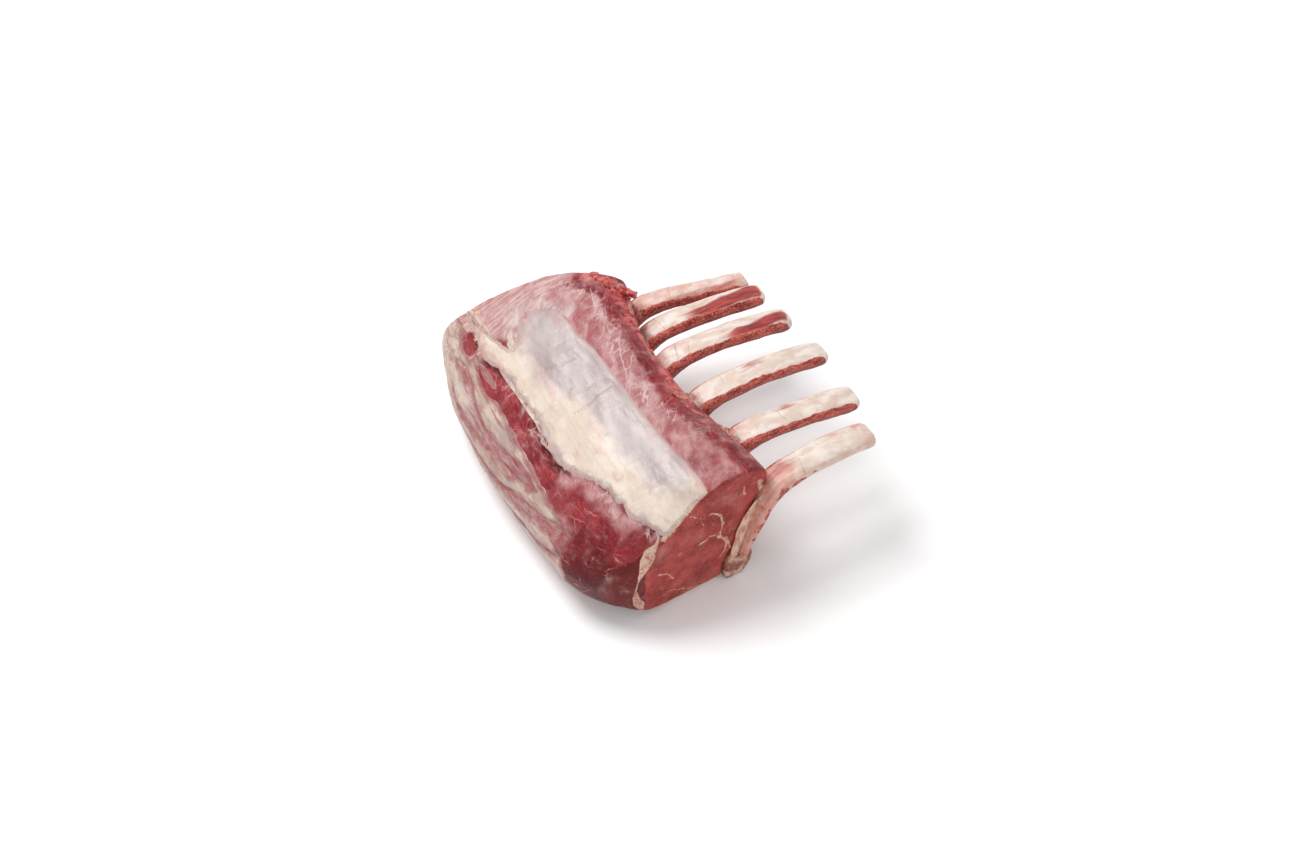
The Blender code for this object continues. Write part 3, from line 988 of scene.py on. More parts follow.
fat_leaves = leaves_along(ARM_LINE[2:], 6, (0, 5), (16, 5, 0.5), 450, 0.8)
fat_leaves += leaves_along(FLAP_LINE, 7, (0, 4), (17, 4, 0.7), 470, 1.5)
foot_fat = foot_strip(rib_places[-1], rib_places[-1].bared - 4, STRIP_END)
print(len(fat_leaves), "leaves of fat and a strip at the last rib's foot")

# %% [markdown]
# ## Veins of fat on the cut faces
# On the cut face, seams of fat between the muscle's bundles show as pale veins, thin and
# branched, with a thicker one along the chine. The far end is a second cut face with veins of
# its own. Each vein is a path on the face, and a little noise takes its straightness away.

# %% Veins
# Each vein is a path of (y, z) points and its half width beyond a hair's.
FACE_VEINS = [
    ([(-27, 83), (-19, 77), (-16.5, 65), (-19, 55), (-12, 42), (-9, 31)], 0.5),
    ([(-22, 56), (-12, 46), (-16, 29)], 0.3),
    ([(-36, 55), (-27, 59), (-19, 57)], 0.2),
    ([(-44, 92), (-36, 84), (-33, 75)], 0.15),
    ([(0, 95), (2, 86)], 0.3),
    ([(-113, 99), (-107, 92), (-92, 83)], 0.4),
    ([(-84, 93), (-79, 78)], 0.6),
    ([(-101, 73), (-103, 68)], 0.2),
    ([(14, 92), (16, 76), (13, 60), (10, 46), (6, 36), (3, 26), (0, 17), (-8, 9), (-16, 2)], 2.4),
    ([(-60, 19), (-46, 12), (-33, 6)], 0.15),
    ([(-70, 44), (-62, 40), (-57, 32)], 0.15),
]
END_VEINS = [
    ([(-78, 62), (-60, 58), (-40, 66), (-22, 62), (-6, 70), (12, 66)], 1.2),
    ([(-40, 66), (-34, 84), (-38, 98)], 0.5),
    ([(-60, 58), (-56, 38), (-42, 22), (-20, 14)], 0.8),
    ([(-22, 62), (-14, 46), (-18, 30)], 0.4),
    ([(-104, 42), (-94, 34), (-90, 20)], 0.5),
]
HAIR = 0.7            # half width of the finest vein


def veins_on(place, veins):
    """1 on the veins of a face, easing to 0 at their borders."""
    points = place.points
    across = points[:, 1:] + 1.2 * np.stack([ripple(points, 6, 175), ripple(points, 6, 176)], 1)
    return np.max([near_path(across, path, HAIR + 1.5 * width) for path, width in veins], axis=0)


print(len(FACE_VEINS), "veins on the cut face,", len(END_VEINS), "on the far end")

# %% [markdown]
# ## Where each tissue of the muscle shows
# A tissue's border is a line on the map again. Each becomes a field: a number on every point,
# about 1 where the tissue lies and 0 elsewhere. The shader sharpens a field with fine noise of
# its own, so its border is far crisper than the mesh. The fields here are the pink membrane,
# its white web, raw flesh at the roots, fat, the cut faces, painted shade in the hollows, the
# underside, the pale far end and the grey film beyond the cover.

# %% Fields for the muscle
# Points of x and girth: the middle of the web above the ribs, and of the veil on the back.
WEB_LINE = [(-90, 60), (-57, 56), (-28, 60), (-1, 63), (19, 65), (45, 66), (72, 62)]
VEIL_LINE = [
    (44, 143), (52, 140), (62, 133), (78, 128), (93, 127), (104, 126), (114, 122), (122, 119),
]


def membrane_and_web(place):
    """The film over the muscle, its white web, and how far the pale far end reaches."""
    points, over_roots = place.points, place.lap(ROOT_EDGE)
    crown = soft((over_roots - 7 + 6 * layered(points, 12, 170)) / 9) * soft((116 - place.girth) / 8)
    crown *= 1 - 0.4 * soft((place.x - 66) / 50)
    crown = np.maximum(crown, 0.3 * between(over_roots, -7, 6, 6))
    far = soft((-74 - place.x + 8 * layered(points, 16, 171)) / 20) * soft((place.girth - 50) / 10)
    far *= soft((190 - place.girth) / 30) * (1 - soft(0.5 + place.spot(-104, 145, 13, 7) / 3))
    veil = 0.8 * between(place.x, 46, 116, 12) * place.near(VEIL_LINE, 15)
    low = 0.4 * between(place.girth, 5, 42, 10) * soft(0.5 + layered(points, 20, 172))
    back_film = 0.62 * soft((place.girth - 153) / 8) * soft((95 - place.x) / 20)
    membrane = np.max([crown, far, veil, low, back_film], axis=0)
    torn = between(place.lap(COVER_BACK), -3, 9, 5) * soft(0.45 + 1.2 * layered(points, 13, 179))
    torn *= place.x > -70
    above_ribs = place.near(WEB_LINE, 15) * (1 - 0.7 * soft((place.x - 70) / 30))
    return membrane, np.max([above_ribs, 0.35 * far, torn], axis=0), far


def painted_hollow_shade(place):
    """Painted shade below and near the rib roots, under the torn edge and in its gaps; darker low on
    the back.
    """
    over_roots, round_back = place.lap(ROOT_EDGE), soft((place.girth - 140) / 50)
    inside_wall = soft((-2 - over_roots) / 12) * soft((80 - place.girth) / 20)
    low_back = soft((place.x - 10) / 110) * soft((place.girth - 105) / 20) * (0.35 + 0.5 * round_back)
    under_edge = 0.9 * place.near(COVER_BACK, 4.5)
    near_roots = 0.4 * between(over_roots, -16, 6, 6) * soft((place.x - 50) / 40)
    gaps = 0.8 * dark_gaps(place, 7, 2.6, 2)
    return np.max([inside_wall, low_back, under_edge, gaps, near_roots], axis=0)


def muscle_fields(place):
    """All fields of a muscle, by name."""
    points, face = place.points, np.maximum(place.face, place.end)
    wrapped = soft((3.5 - below_rim(place) + 2.5 * layered(points, 10, 169)) / 4)
    wrapped *= between(place.girth, 40, 112, 20)
    skin = 1 - face * (1 - 0.8 * wrapped * (place.face > 0.5))
    membrane, web, far = membrane_and_web(place)
    rooted = between(place.lap(ROOT_EDGE) + 5 * layered(points, 12, 174), -16, 1, 7)
    raw = (0.86 - 0.5 * soft((place.x - 10) / 60)) * rooted
    beyond = place.x - line_at(FAR_EDGE, place.girth) + 6 * layered(points, 14, 173)
    greyed = 0.75 * soft((beyond + 34) / 24) * soft((8 - beyond) / 6)
    greyed = greyed * between(place.girth, 66, 116, 16)
    veins = np.where(place.end > 0.5, veins_on(place, END_VEINS), veins_on(place, FACE_VEINS))
    bottom_edge = soft((5.5 - place.z + 3 * ripple(points, 7, 177)) / 3)
    arm = place.near(ARM_LINE, 10) * soft((-60 - place.x) / 10)
    back_end = soft((-78 - place.y + 3 * layered(points, 9, 178)) / 5)
    return {
        "membrane": membrane * skin,
        "web": web * skin,
        "raw": raw * skin * (1 - place.end),
        "fatty": np.where(face > 0.5, np.maximum(veins, 0.8 * bottom_edge), arm),
        "cut": face * (1 - 0.7 * wrapped),
        # On the cut faces this is the back muscle's darker red; elsewhere it is painted shade.
        "dark": np.where(face > 0.5, back_end, painted_hollow_shade(place)),
        "under": place.under,
        "far": far * skin,
        "greyed": greyed * skin * (1 - place.end),
    }


def paint(obj, fields):
    """Stores each field on the object's points, where the shader can read it."""
    for name, values in fields.items():
        layer = obj.data.attributes.new(name, "FLOAT", "POINT")
        layer.data.foreach_set("value", np.asarray(values, np.float32))


for piece in (loin, back_muscle):
    fields = muscle_fields(Place(points_of(piece.data), normals_of(piece.data)))
    paint(piece, fields)
    print(piece.name, "is", round(100 * float(fields["membrane"].mean())), "% membrane")
for n, piece in enumerate(red_leaves):
    high = ripple(points_of(piece.data), 9, 260)
    fatty = n % 3 == 1 and piece not in tuft
    paint(piece, {
        "membrane": 0.1 + 0.3 * high,
        "fatty": 0.15 + 0.25 * fatty + 0.4 * high,
        "dark": 0.15 - 0.2 * high,
        "raw": 0.7 - 0.4 * high,
    })

# %% [markdown]
# ## Where the fat is cream, silver or thin
# Towards the back the cover is cream and pebbled. Towards the ribs it thins to silverskin,
# through which grey light comes back, and along its torn edge a lace of film is left. At the
# edge of either sheet the fat is so thin that the red below shows through.

# %% Fields for the fat
SEE_THROUGH = 5       # width of the thin border
FAR_THIN = 9          # how much wider it is at the cover's far end


def fat_fields(place, depth, far_width):
    """Fields for a sheet of fat, from how far inside its edge each point lies."""
    points, off_face, creamward = place.points, 1 - place.face, place.lap(CREAM_LINE)
    silver = soft((-creamward + 13 + 9 * layered(points, 18, 180)) / 26) * off_face
    far_silver = soft((-48 - place.x) / 26) * between(place.girth, 76, 114, 14)
    silver = np.maximum(silver, 0.9 * far_silver)
    silver *= 1 - 0.6 * soft((place.x - 96) / 30)
    lace = soft((8 + 5 * layered(points, 9, 181) - depth) / 6) * (creamward > 8) * off_face
    silver = np.maximum(silver, 0.62 * lace)
    width = SEE_THROUGH + far_width * soft((-45 - place.x) / 25) + 3 * silver
    thin = soft(1 - depth / width) * off_face * (1 - 0.6 * silver)
    # Painted shade in the creases along the torn edge, in the knife's slits and at the far corner.
    crease_shade = np.maximum(place.near(COVER_BACK, 14) * 0.6, 1.4 * knife_cut(place, 1.0))
    crease_shade = np.maximum(crease_shade, soft((-98 - place.x) / 14) * soft((place.girth - 120) / 12))
    return {"silver": silver, "thin": thin, "crease_shade": crease_shade, "face": place.face}


whole = Place(carved, carved_normals)
sheets = ((fat_cover, cover_points, cover, FAR_THIN), (back_sheet, back_points, back_fat, 0))
for sheet, used, depth, far_width in sheets:
    fields = fat_fields(whole, depth, far_width)
    paint(sheet, {name: np.tile(values[used], 2) for name, values in fields.items()})
    print(sheet.name, "is", round(100 * float(fields["silver"][used].mean())), "% silver")
wall_place = Place(points_of(seam.data), normals_of(seam.data))
fringe = (1 - wall_place.face) * soft(0.5 + layered(wall_place.points, 8, 185))
pink_rim = 0.5 + 0.6 * soft((46 - wall_place.z) / 20) + 0.3 * layered(wall_place.points, 6, 186)
# The seam's fringe gets painted crease shade.
paint(seam, {"silver": 0.8 * fringe, "thin": pink_rim, "crease_shade": fringe, "face": wall_place.face})
for piece in fat_leaves:
    high = ripple(points_of(piece.data), 9, 270)
    paint(piece, {"silver": 0.2 + 0.5 * high, "thin": 0.45 - 0.4 * high})

# %% [markdown]
# ## Where the bone is white, pink or red
# The bones are cream where scraped, pink where a film of blood stayed, and dark where the strip
# of meat lies. Red film is left on top of some: on the first three it starts at the tip, drifts
# towards the near side and narrows, and on the others it is a short patch further in.

# %% Fields for the bone
# The red film by rib: its start and end from the tip, its side, its half width and strength.
RED_FILM = {
    1: (0, 64, 5, 4, 0.55),
    2: (-8, 60, 2, 5.5, 1.1),
    3: (-6, 50, 3, 4.5, 1.05),
    4: (52, 64, -6, 4, 0.8),
    5: (46, 62, -7, 3.5, 0.7),
    6: (66, 84, -3, 6, 0.75),
}
PINK_TIPS = (1, 6)    # ribs
CLEAN_TIPS = (4, 5)


def red_film(place, k):
    """The film of red on top of a rib, and what climbs onto it from the body."""
    points = place.points
    start, end, side, wide, strength = RED_FILM[k]
    along = np.clip(place.from_tip / end, 0, 1)
    offset = np.abs(place.side - side + 1.5 - 3.5 * along + 2 * ripple(points, 16, 200 + k))
    film = between(place.from_tip, start, end, 30) * soft(1.5 - offset / (wide * (1.1 - 0.5 * along)))
    film = film * soft(place.lift / 2) * strength
    from_body = place.from_tip - place.bared + 15 + 9 * ripple(points, 8, 209)
    climbing = 0.6 * soft(from_body / 10) * (0.5 if k == RIB_COUNT else 1)
    return np.maximum(film, climbing)


def blush_on(place, k, inner_film):
    """Where a rib is tinged pink: in patches, near the body, along its far edge, at some tips."""
    points, last = place.points, k == RIB_COUNT
    patches = 0.4 * soft(0.3 + layered(points * (1, 0.6, 1), 16, 190 + k))
    patches = patches + 0.6 * soft((place.from_tip - place.bared + 20) / 22) + 0.3 * (k == 1)
    near_side = 0.4 * last * (place.side > 0) * soft((6 - place.lift) / 3)
    far_edge = soft((-place.side - place.half_width + 3.5 + 2 * ripple(points, 12, 205 + k)) / 2)
    spots = soft(0.35 + layered(points, 7, 214))
    tip = 0.8 * (k in PINK_TIPS) * soft((22 - place.from_tip) / 14) * spots
    clean = 0.7 * soft((34 - place.from_tip) / 20) * (k in CLEAN_TIPS)
    return np.max([patches, 0.8 * inner_film, near_side, far_edge, tip], axis=0) * (1 - clean)


def bone_fields(place, k):
    """All fields of a rib, by name. A thin inner film is left on its underside."""
    meat = soft((meat_on_bone(place, k) + 0.7) / 1.4)
    if k == RIB_COUNT:
        scraps = soft((place.from_tip - place.bared) / 8) * soft(0.4 + layered(place.points, 9, 207))
        meat = np.maximum(meat, 0.5 * scraps)
    inner_film = soft((-place.lift - 3) / 2) * soft((8 - np.abs(place.side)) / 2)
    return {
        "meat": meat * (1 - 0.7 * inner_film),
        # Low on the rib, where painted shade falls on the side meat.
        "deep": soft((1.5 - place.lift) / 4),
        "blush": blush_on(place, k, inner_film),
        "nick": nicks(place, k),
        "streak": red_film(place, k),
    }


for k, (rib, place) in enumerate(zip(ribs, rib_places), 1):
    fields = bone_fields(place, k)
    paint(rib, fields)
    print(rib.name, "is", round(100 * float((fields["meat"] > 0.5).mean())), "% meat")
paint(chine, {"pale": 0.2 * ripple(chine_points, 12, 164)})
paint(foot_fat, {"pale": np.full(len(foot_fat.data.vertices), 0.75)})

# %% [markdown]
# ## One small kit for all materials
# Every material here is built the same way: a base colour, then layers of other tissue over it,
# each let through by a field and by noise. A small class keeps the node code short and holds
# the shader, so that a material reads as a list of its tissues.


# %% The material kit
COAT_ROUGH = 0.16     # the wet film on top is nearly a mirror
REDDENED = (1.0, 0.35, 0.2)    # light inside meat and bone gets furthest in red


def tint(red, green, blue):
    """A linear colour from everyday 0 to 255 values."""
    return tuple(((value / 255 + 0.055) / 1.055) ** 2.4 for value in (red, green, blue)) + (1,)


class Look:
    """A material of tissues laid over each other."""

    def __init__(self, name, wet, scatter, scatter_size, shine=0.3):
        self.material = bpy.data.materials.new(name)
        self.material.use_nodes = True
        self.tree = self.material.node_tree
        self.shader = self.tree.nodes["Principled BSDF"]
        self.place = self.node("ShaderNodeTexCoord").outputs["Object"]
        self.shader.inputs["Coat Weight"].default_value = wet
        self.shader.inputs["Coat Roughness"].default_value = COAT_ROUGH
        self.shader.inputs["Specular IOR Level"].default_value = shine
        self.shader.inputs["Subsurface Weight"].default_value = scatter
        self.shader.inputs["Subsurface Radius"].default_value = REDDENED
        self.shader.inputs["Subsurface Scale"].default_value = scatter_size * MM

    def node(self, kind, **settings):
        """A new node of a kind, with its settings."""
        node = self.tree.nodes.new(kind)
        for key, value in settings.items():
            setattr(node, key, value)
        return node

    def feed(self, socket, value):
        """Links a node's output to the socket, or sets the socket to a plain value."""
        if isinstance(value, bpy.types.NodeSocket):
            self.tree.links.new(value, socket)
        else:
            socket.default_value = value

    def field(self, name):
        """A painted field, as the shader reads it."""
        return self.node("ShaderNodeAttribute", attribute_name=name).outputs["Fac"]

    def stretched(self, size, stretch, turn):
        """Places in units of size millimetres, drawn out by stretch after a turn in degrees."""
        turned = self.node("ShaderNodeVectorRotate", rotation_type="EULER_XYZ")
        turned.inputs["Rotation"].default_value = tuple(math.radians(angle) for angle in turn)
        self.feed(turned.inputs["Vector"], self.place)
        scaled = self.node("ShaderNodeVectorMath", operation="MULTIPLY")
        scaled.inputs[1].default_value = tuple(1 / (size * MM * s) for s in stretch)
        self.feed(scaled.inputs[0], turned.outputs["Vector"])
        return scaled.outputs["Vector"]

    def grain(self, size, stretch=(1, 1, 1), detail=3.0, turn=(0, 0, 0), warp=0.0):
        """Noise from 0 to 1 with swells of size millimetres."""
        noise = self.node("ShaderNodeTexNoise")
        noise.inputs["Scale"].default_value = 1.0
        noise.inputs["Detail"].default_value = detail
        noise.inputs["Distortion"].default_value = warp
        self.feed(noise.inputs["Vector"], self.stretched(size, stretch, turn))
        return noise.outputs["Fac"]

    def threads(self, size, width, stretch=(1, 1, 1), turn=(0, 0, 0)):
        """A net of fine threads, 1 on a thread: the borders of noise-bent cells."""
        places = self.stretched(size, stretch, turn)
        bend = self.node("ShaderNodeTexNoise")
        bend.inputs["Scale"].default_value = 0.9
        bend.inputs["Detail"].default_value = 3.0
        self.feed(bend.inputs["Vector"], places)
        bent = self.node("ShaderNodeVectorMath", operation="MULTIPLY_ADD")
        bent.inputs[1].default_value = (1.3, 1.3, 1.3)
        self.feed(bent.inputs[0], bend.outputs["Color"])
        self.feed(bent.inputs[2], places)
        cells = self.node("ShaderNodeTexVoronoi", feature="DISTANCE_TO_EDGE")
        cells.inputs["Scale"].default_value = 1.0
        self.feed(cells.inputs["Vector"], bent.outputs["Vector"])
        return self.step(cells.outputs["Distance"], 0.0, width / size, 1, 0)

    def sum(self, first, second, operation="ADD"):
        """Two numbers added, or joined by another operation of arithmetic."""
        node = self.node("ShaderNodeMath", operation=operation)
        self.feed(node.inputs[0], first)
        self.feed(node.inputs[1], second)
        return node.outputs[0]

    def times(self, first, second):
        """Two numbers multiplied, so the result is high only where both are."""
        return self.sum(first, second, "MULTIPLY")

    def step(self, value, low, high, bottom=0.0, top=1.0):
        """An eased step: bottom where value is under low, top where it is over high."""
        node = self.node("ShaderNodeMapRange", interpolation_type="SMOOTHSTEP")
        self.feed(node.inputs["Value"], value)
        limits = {"From Min": low, "From Max": high, "To Min": bottom, "To Max": top}
        for key, number in limits.items():
            node.inputs[key].default_value = number
        return node.outputs["Result"]

    def ragged(self, name, noise, rough=0.5, edge=0.12):
        """A field whose border is broken up by noise and then made crisp."""
        wander = self.times(self.sum(noise, 0.5, "SUBTRACT"), 2 * rough)
        return self.step(self.sum(self.field(name), wander), 0.5 - edge, 0.5 + edge)

    def mix(self, low, high, share):
        """A colour from low to high by a share from 0 to 1."""
        node = self.node("ShaderNodeMix", data_type="RGBA")
        for number, value in ((0, share), (6, low), (7, high)):
            self.feed(node.inputs[number], value)
        return node.outputs[2]

    def blend(self, low, high, share):
        """The same for plain numbers."""
        node = self.node("ShaderNodeMix", data_type="FLOAT")
        for number, value in ((0, share), (2, low), (3, high)):
            self.feed(node.inputs[number], value)
        return node.outputs[0]

    def tones(self, dark, pale, noise, low, high):
        """A tissue's own two tones, parted by noise."""
        return self.mix(tint(*dark), tint(*pale), self.step(noise, low, high))

    def over(self, colour, tissue, where_it_lies, strength):
        """The colour with a tissue over it, at most as strong as strength."""
        return self.mix(colour, tissue, self.times(where_it_lies, strength))

    def finish(self, colour, roughness, height, depth):
        """Connects colour, roughness and a bump whose height noise spans depth millimetres."""
        self.feed(self.shader.inputs["Base Color"], colour)
        self.feed(self.shader.inputs["Roughness"], roughness)
        bump = self.node("ShaderNodeBump")
        bump.inputs["Strength"].default_value = 1.0
        bump.inputs["Distance"].default_value = depth * MM
        self.feed(bump.inputs["Height"], height)
        self.feed(self.shader.inputs["Normal"], bump.outputs["Normal"])
        return self.material


print("material kit ready")

# %% [markdown]
# ## Raw muscle
# The muscle is dark red with a grain along the spine. On the cut faces the ends of the fibres
# show as a fine mottle, browner than the rest because the air has reached it. Over the muscle
# lie a pink and lilac film, raw flesh at the roots, the pale film of the far end, a grey film
# beyond the cover, a white web where the film thickens, and fat. The material lists them in
# that order, from the inside out.


# %% Muscle, layer by layer
def red_muscle(look, broad, fibre):
    """The muscle itself, with its fibres, painted shade in its hollows and a few pale wet lines
    painted as highlights.
    """
    colour = look.tones((108, 22, 28), (146, 44, 50), broad, 0.3, 0.7)
    colour = look.mix(colour, tint(84, 12, 18), look.step(fibre, 0.25, 0.5, 0.6, 0))
    colour = look.mix(colour, tint(180, 84, 88), look.step(fibre, 0.52, 0.8, 0, 0.6))
    # Painted shade where the dark field says so; on the loose leaves it only darkens random patches.
    colour = look.mix(colour, tint(66, 8, 12), look.step(look.field("dark"), 0.1, 1, 0, 0.85))
    # Pale pink lines painted as highlights on the wet muscle.
    painted_wet_highlights = look.threads(11, 0.45, stretch=(2.2, 1, 1), turn=(0, 0, -20))
    painted_wet_highlights = look.times(painted_wet_highlights, look.step(look.grain(13, detail=3), 0.46, 0.62))
    return look.over(colour, tint(204, 132, 130), painted_wet_highlights, 0.55)


def cut_muscle(look, mottle):
    """The ends of the fibres on a cut face, with flecks of fat between them."""
    cut = look.tones((138, 42, 38), (172, 68, 62), look.grain(14, detail=5), 0.35, 0.65)
    cut = look.mix(cut, tint(186, 98, 88), look.step(mottle, 0.45, 0.8, 0, 0.6))
    strands = look.grain(2.0, stretch=(1, 1, 5), turn=(35, 0, 0), detail=5, warp=0.6)
    cut = look.mix(cut, tint(96, 24, 22), look.step(strands, 0.5, 0.75, 0, 0.6))
    flecks = look.step(look.grain(2.4, detail=2), 0.72, 0.8, 0, 0.5)
    cut = look.mix(cut, tint(204, 140, 116), flecks)
    return look.mix(cut, tint(84, 4, 8), look.step(look.field("dark"), 0.3, 0.8, 0, 0.8))


def raw_flesh(look):
    """Torn flesh at the roots of the ribs, with pale flecks."""
    torn = look.grain(3.5, stretch=(1, 2, 2), detail=6)
    flesh_red = look.tones((146, 30, 36), (208, 102, 98), torn, 0.34, 0.62)
    flecks = look.step(look.grain(2.6, detail=6), 0.54, 0.7, 0, 0.75)
    return look.mix(flesh_red, tint(214, 148, 138), flecks)


def pink_film(look):
    """The film over the muscle, drawn out in fine fibres, some white and some dark."""
    veil = look.grain(10, stretch=(2, 1, 1), turn=(0, 0, 30), detail=6, warp=0.6)
    fibres = look.grain(1.6, stretch=(1, 8, 8), turn=(0, 0, -22), detail=4)
    film = look.tones((158, 90, 94), (190, 144, 143), veil, 0.35, 0.65)
    film = look.mix(film, tint(204, 168, 166), look.step(fibres, 0.5, 0.8, 0, 0.35))
    return look.mix(film, tint(126, 56, 62), look.step(fibres, 0.25, 0.46, 0.25, 0))


def white_net(look):
    """A net of fine threads, with a haze where the film is thick."""
    long_threads = look.threads(15, 0.9, stretch=(3, 0.7, 1), turn=(0, 0, 35))
    cross_threads = look.threads(9, 0.7, stretch=(0.8, 2.4, 1), turn=(0, 0, -15))
    net = look.sum(long_threads, look.times(cross_threads, 0.8), "MAXIMUM")
    net = look.times(net, look.step(look.grain(17, detail=4), 0.4, 0.56))
    thick = look.grain(11, stretch=(2, 1, 1), turn=(0, 0, 40), detail=4, warp=0.4)
    return look.sum(net, look.step(thick, 0.5, 0.8, 0, 0.7), "MAXIMUM")


print("five layers of muscle described")

# %% [markdown]
# ## The muscle's material
# The layers go over each other here. A field says where each lies, and noise frays its border.
# Pale films are thin, so they never cover fully. Bare muscle is smooth and wet, while the cut
# faces are duller, and their bump is that of the fibres' ends.


# %% Muscle
def muscle_look():
    """All tissues of the two muscles, from the inside out."""
    look = Look("raw veal muscle", wet=0.08, scatter=0.06, scatter_size=2, shine=0.16)
    broad = look.grain(16, detail=4)
    fibre = look.grain(1.1, stretch=(9, 1, 1), turn=(0, 0, 14), detail=4)
    mottle = look.grain(1.6, detail=5)
    colour = look.mix(red_muscle(look, broad, fibre), cut_muscle(look, mottle), look.field("cut"))
    raw = look.ragged("raw", look.grain(6, detail=6), 0.6, 0.35)
    colour = look.mix(colour, raw_flesh(look), raw)
    drift = look.grain(8, stretch=(1.6, 1, 1), turn=(0, 0, -25), detail=6)
    colour = look.over(colour, pink_film(look), look.ragged("membrane", drift, 0.7, 0.45), 0.94)
    sheen = look.grain(1.8, stretch=(1, 8, 8), turn=(0, 0, 8), detail=5, warp=0.3)
    pale = look.tones((168, 116, 116), (206, 182, 176), sheen, 0.4, 0.65)
    far = look.ragged("far", look.grain(15, stretch=(1, 2, 2), detail=6), 1.1, 0.5)
    colour = look.over(colour, pale, far, 0.7)
    wisps = look.grain(6, stretch=(2, 1, 1), turn=(0, 0, 60), detail=6, warp=0.8)
    grey_film = look.tones((176, 148, 146), (206, 192, 188), wisps, 0.4, 0.62)
    greyed = look.ragged("greyed", look.grain(7, detail=6), 0.8, 0.45)
    colour = look.over(colour, grey_film, greyed, 0.75)
    web = look.times(white_net(look), look.field("web"))
    colour = look.over(colour, tint(214, 190, 188), web, 0.8)
    fat = look.tones((184, 122, 100), (222, 194, 170), look.grain(3.5, detail=4), 0.35, 0.65)
    colour = look.over(colour, fat, look.ragged("fatty", look.grain(2.5, detail=5), 0.7, 0.3), 0.85)
    colour = look.mix(colour, tint(150, 92, 88), look.step(look.field("under"), 0.3, 1, 0, 0.5))
    rough = look.blend(look.blend(0.3, 0.42, broad), 0.5, look.field("cut"))
    height = look.sum(look.times(fibre, 0.8), look.sum(mottle, look.grain(3.5, detail=4)))
    return look.finish(colour, rough, height, 0.5)


muscle_material = muscle_look()
print(muscle_material.name, len(muscle_material.node_tree.nodes), "nodes")

# %% [markdown]
# ## Fat and silverskin
# Cream fat is opaque and pebbled. Silverskin is a thin sheet of gristle: grey-lilac, smooth and
# glossy. Where the sheet thins out at its edge, the red below shows through.


# %% Fat
def fat_look(name, cream, grey, red, stained, lined, thinned):
    """Fat of three cream tones and two grey ones, with shares for its stains, lines and edge."""
    look = Look(name, wet=0.12, scatter=0.12, scatter_size=2.5)
    lobules = look.grain(3.2, detail=4)
    colour = look.tones(cream[0], cream[1], look.grain(22, detail=4), 0.35, 0.65)
    colour = look.mix(colour, tint(*cream[2]), look.step(lobules, 0.58, 0.75, 0, 0.45))
    threads = look.grain(9, stretch=(3, 1, 1), turn=(0, 0, 20), detail=4)
    silk = look.tones(grey[0], grey[1], threads, 0.3, 0.7)
    colour = look.mix(colour, silk, look.ragged("silver", look.grain(8, detail=6), 0.4, 0.45))
    stain = look.grain(9, stretch=(3, 1, 1), turn=(0, 0, 30), detail=7, warp=0.8)
    colour = look.mix(colour, red, look.step(stain, 0.54, 0.76, 0, stained))
    bands = look.grain(5, stretch=(9, 1, 1), turn=(0, 0, 3), detail=5, warp=0.3)
    colour = look.mix(colour, silk, look.step(bands, 0.45, 0.6, 0, lined))
    lines = look.grain(1.7, stretch=(18, 1, 1), turn=(0, 0, 4), detail=5, warp=0.3)
    colour = look.mix(colour, red, look.step(lines, 0.56, 0.68, 0, lined))
    tan = look.tones((206, 160, 132), (222, 186, 160), lobules, 0.4, 0.65)
    colour = look.over(colour, tan, look.field("face"), 0.75)
    thin = look.ragged("thin", look.grain(3, stretch=(2.5, 1, 1), detail=6), 0.8, 0.5)
    colour = look.over(colour, red, thin, thinned)
    web = look.times(look.threads(4.5, 0.9), look.step(look.grain(6, detail=4), 0.4, 0.55))
    colour = look.over(colour, tint(148, 70, 62), look.times(web, look.field("face")), 0.75)
    # A net of darker lines painted as shade in dents, where the crease field says so.
    painted_dent_shade = look.threads(9, 0.8, stretch=(1.5, 1, 1), turn=(0, 0, 30))
    colour = look.over(colour, tint(150, 112, 110), look.times(painted_dent_shade, look.field("crease_shade")), 0.65)
    rough = look.blend(0.42, 0.3, look.field("silver"))
    smoothed = look.blend(lobules, look.grain(6, stretch=(3, 1, 1)), look.field("silver"))
    return look.finish(colour, rough, look.sum(smoothed, look.grain(1.2)), 0.22)


cover_material = fat_look(
    "cream fat and silverskin",
    cream=[(206, 189, 173), (218, 204, 191), (226, 214, 203)],
    grey=[(160, 146, 145), (184, 171, 169)],
    red=tint(186, 130, 118),
    stained=0.35,
    lined=0.12,
    thinned=0.6,
)
back_material = fat_look(
    "thin back fat",
    cream=[(178, 150, 134), (194, 174, 160), (206, 192, 182)],
    grey=[(142, 110, 110), (172, 152, 148)],
    red=tint(140, 66, 66),
    stained=0.55,
    lined=0.74,
    thinned=0.84,
)
print(cover_material.name, "and", back_material.name)

# %% [markdown]
# ## Scraped bone
# Scraped rib bone is cream to white, with greyer patches, and pink where the blush field says
# so. Over it come the red film, drawn out along the bone, and the strip of side meat, which is
# granular, with tan granules and painted shade towards its foot. The knife's nicks are thin brown
# lines.


# %% Rib bone
def side_meat(look, strip):
    """The rough strip of meat on a rib's sides, with painted shade towards its foot."""
    granules = look.grain(0.9, stretch=(1, 2, 1), detail=6)
    meat = look.tones((126, 26, 28), (188, 76, 68), strip, 0.35, 0.62)
    meat = look.mix(meat, tint(212, 150, 126), look.step(granules, 0.46, 0.66, 0, 0.6))
    # Painted shade on the lower part of the rib, where the deep field says so.
    foot = look.ragged("deep", look.grain(4, stretch=(1, 3, 1)), 0.5, 0.35)
    return look.over(meat, tint(112, 12, 18), foot, 0.65)


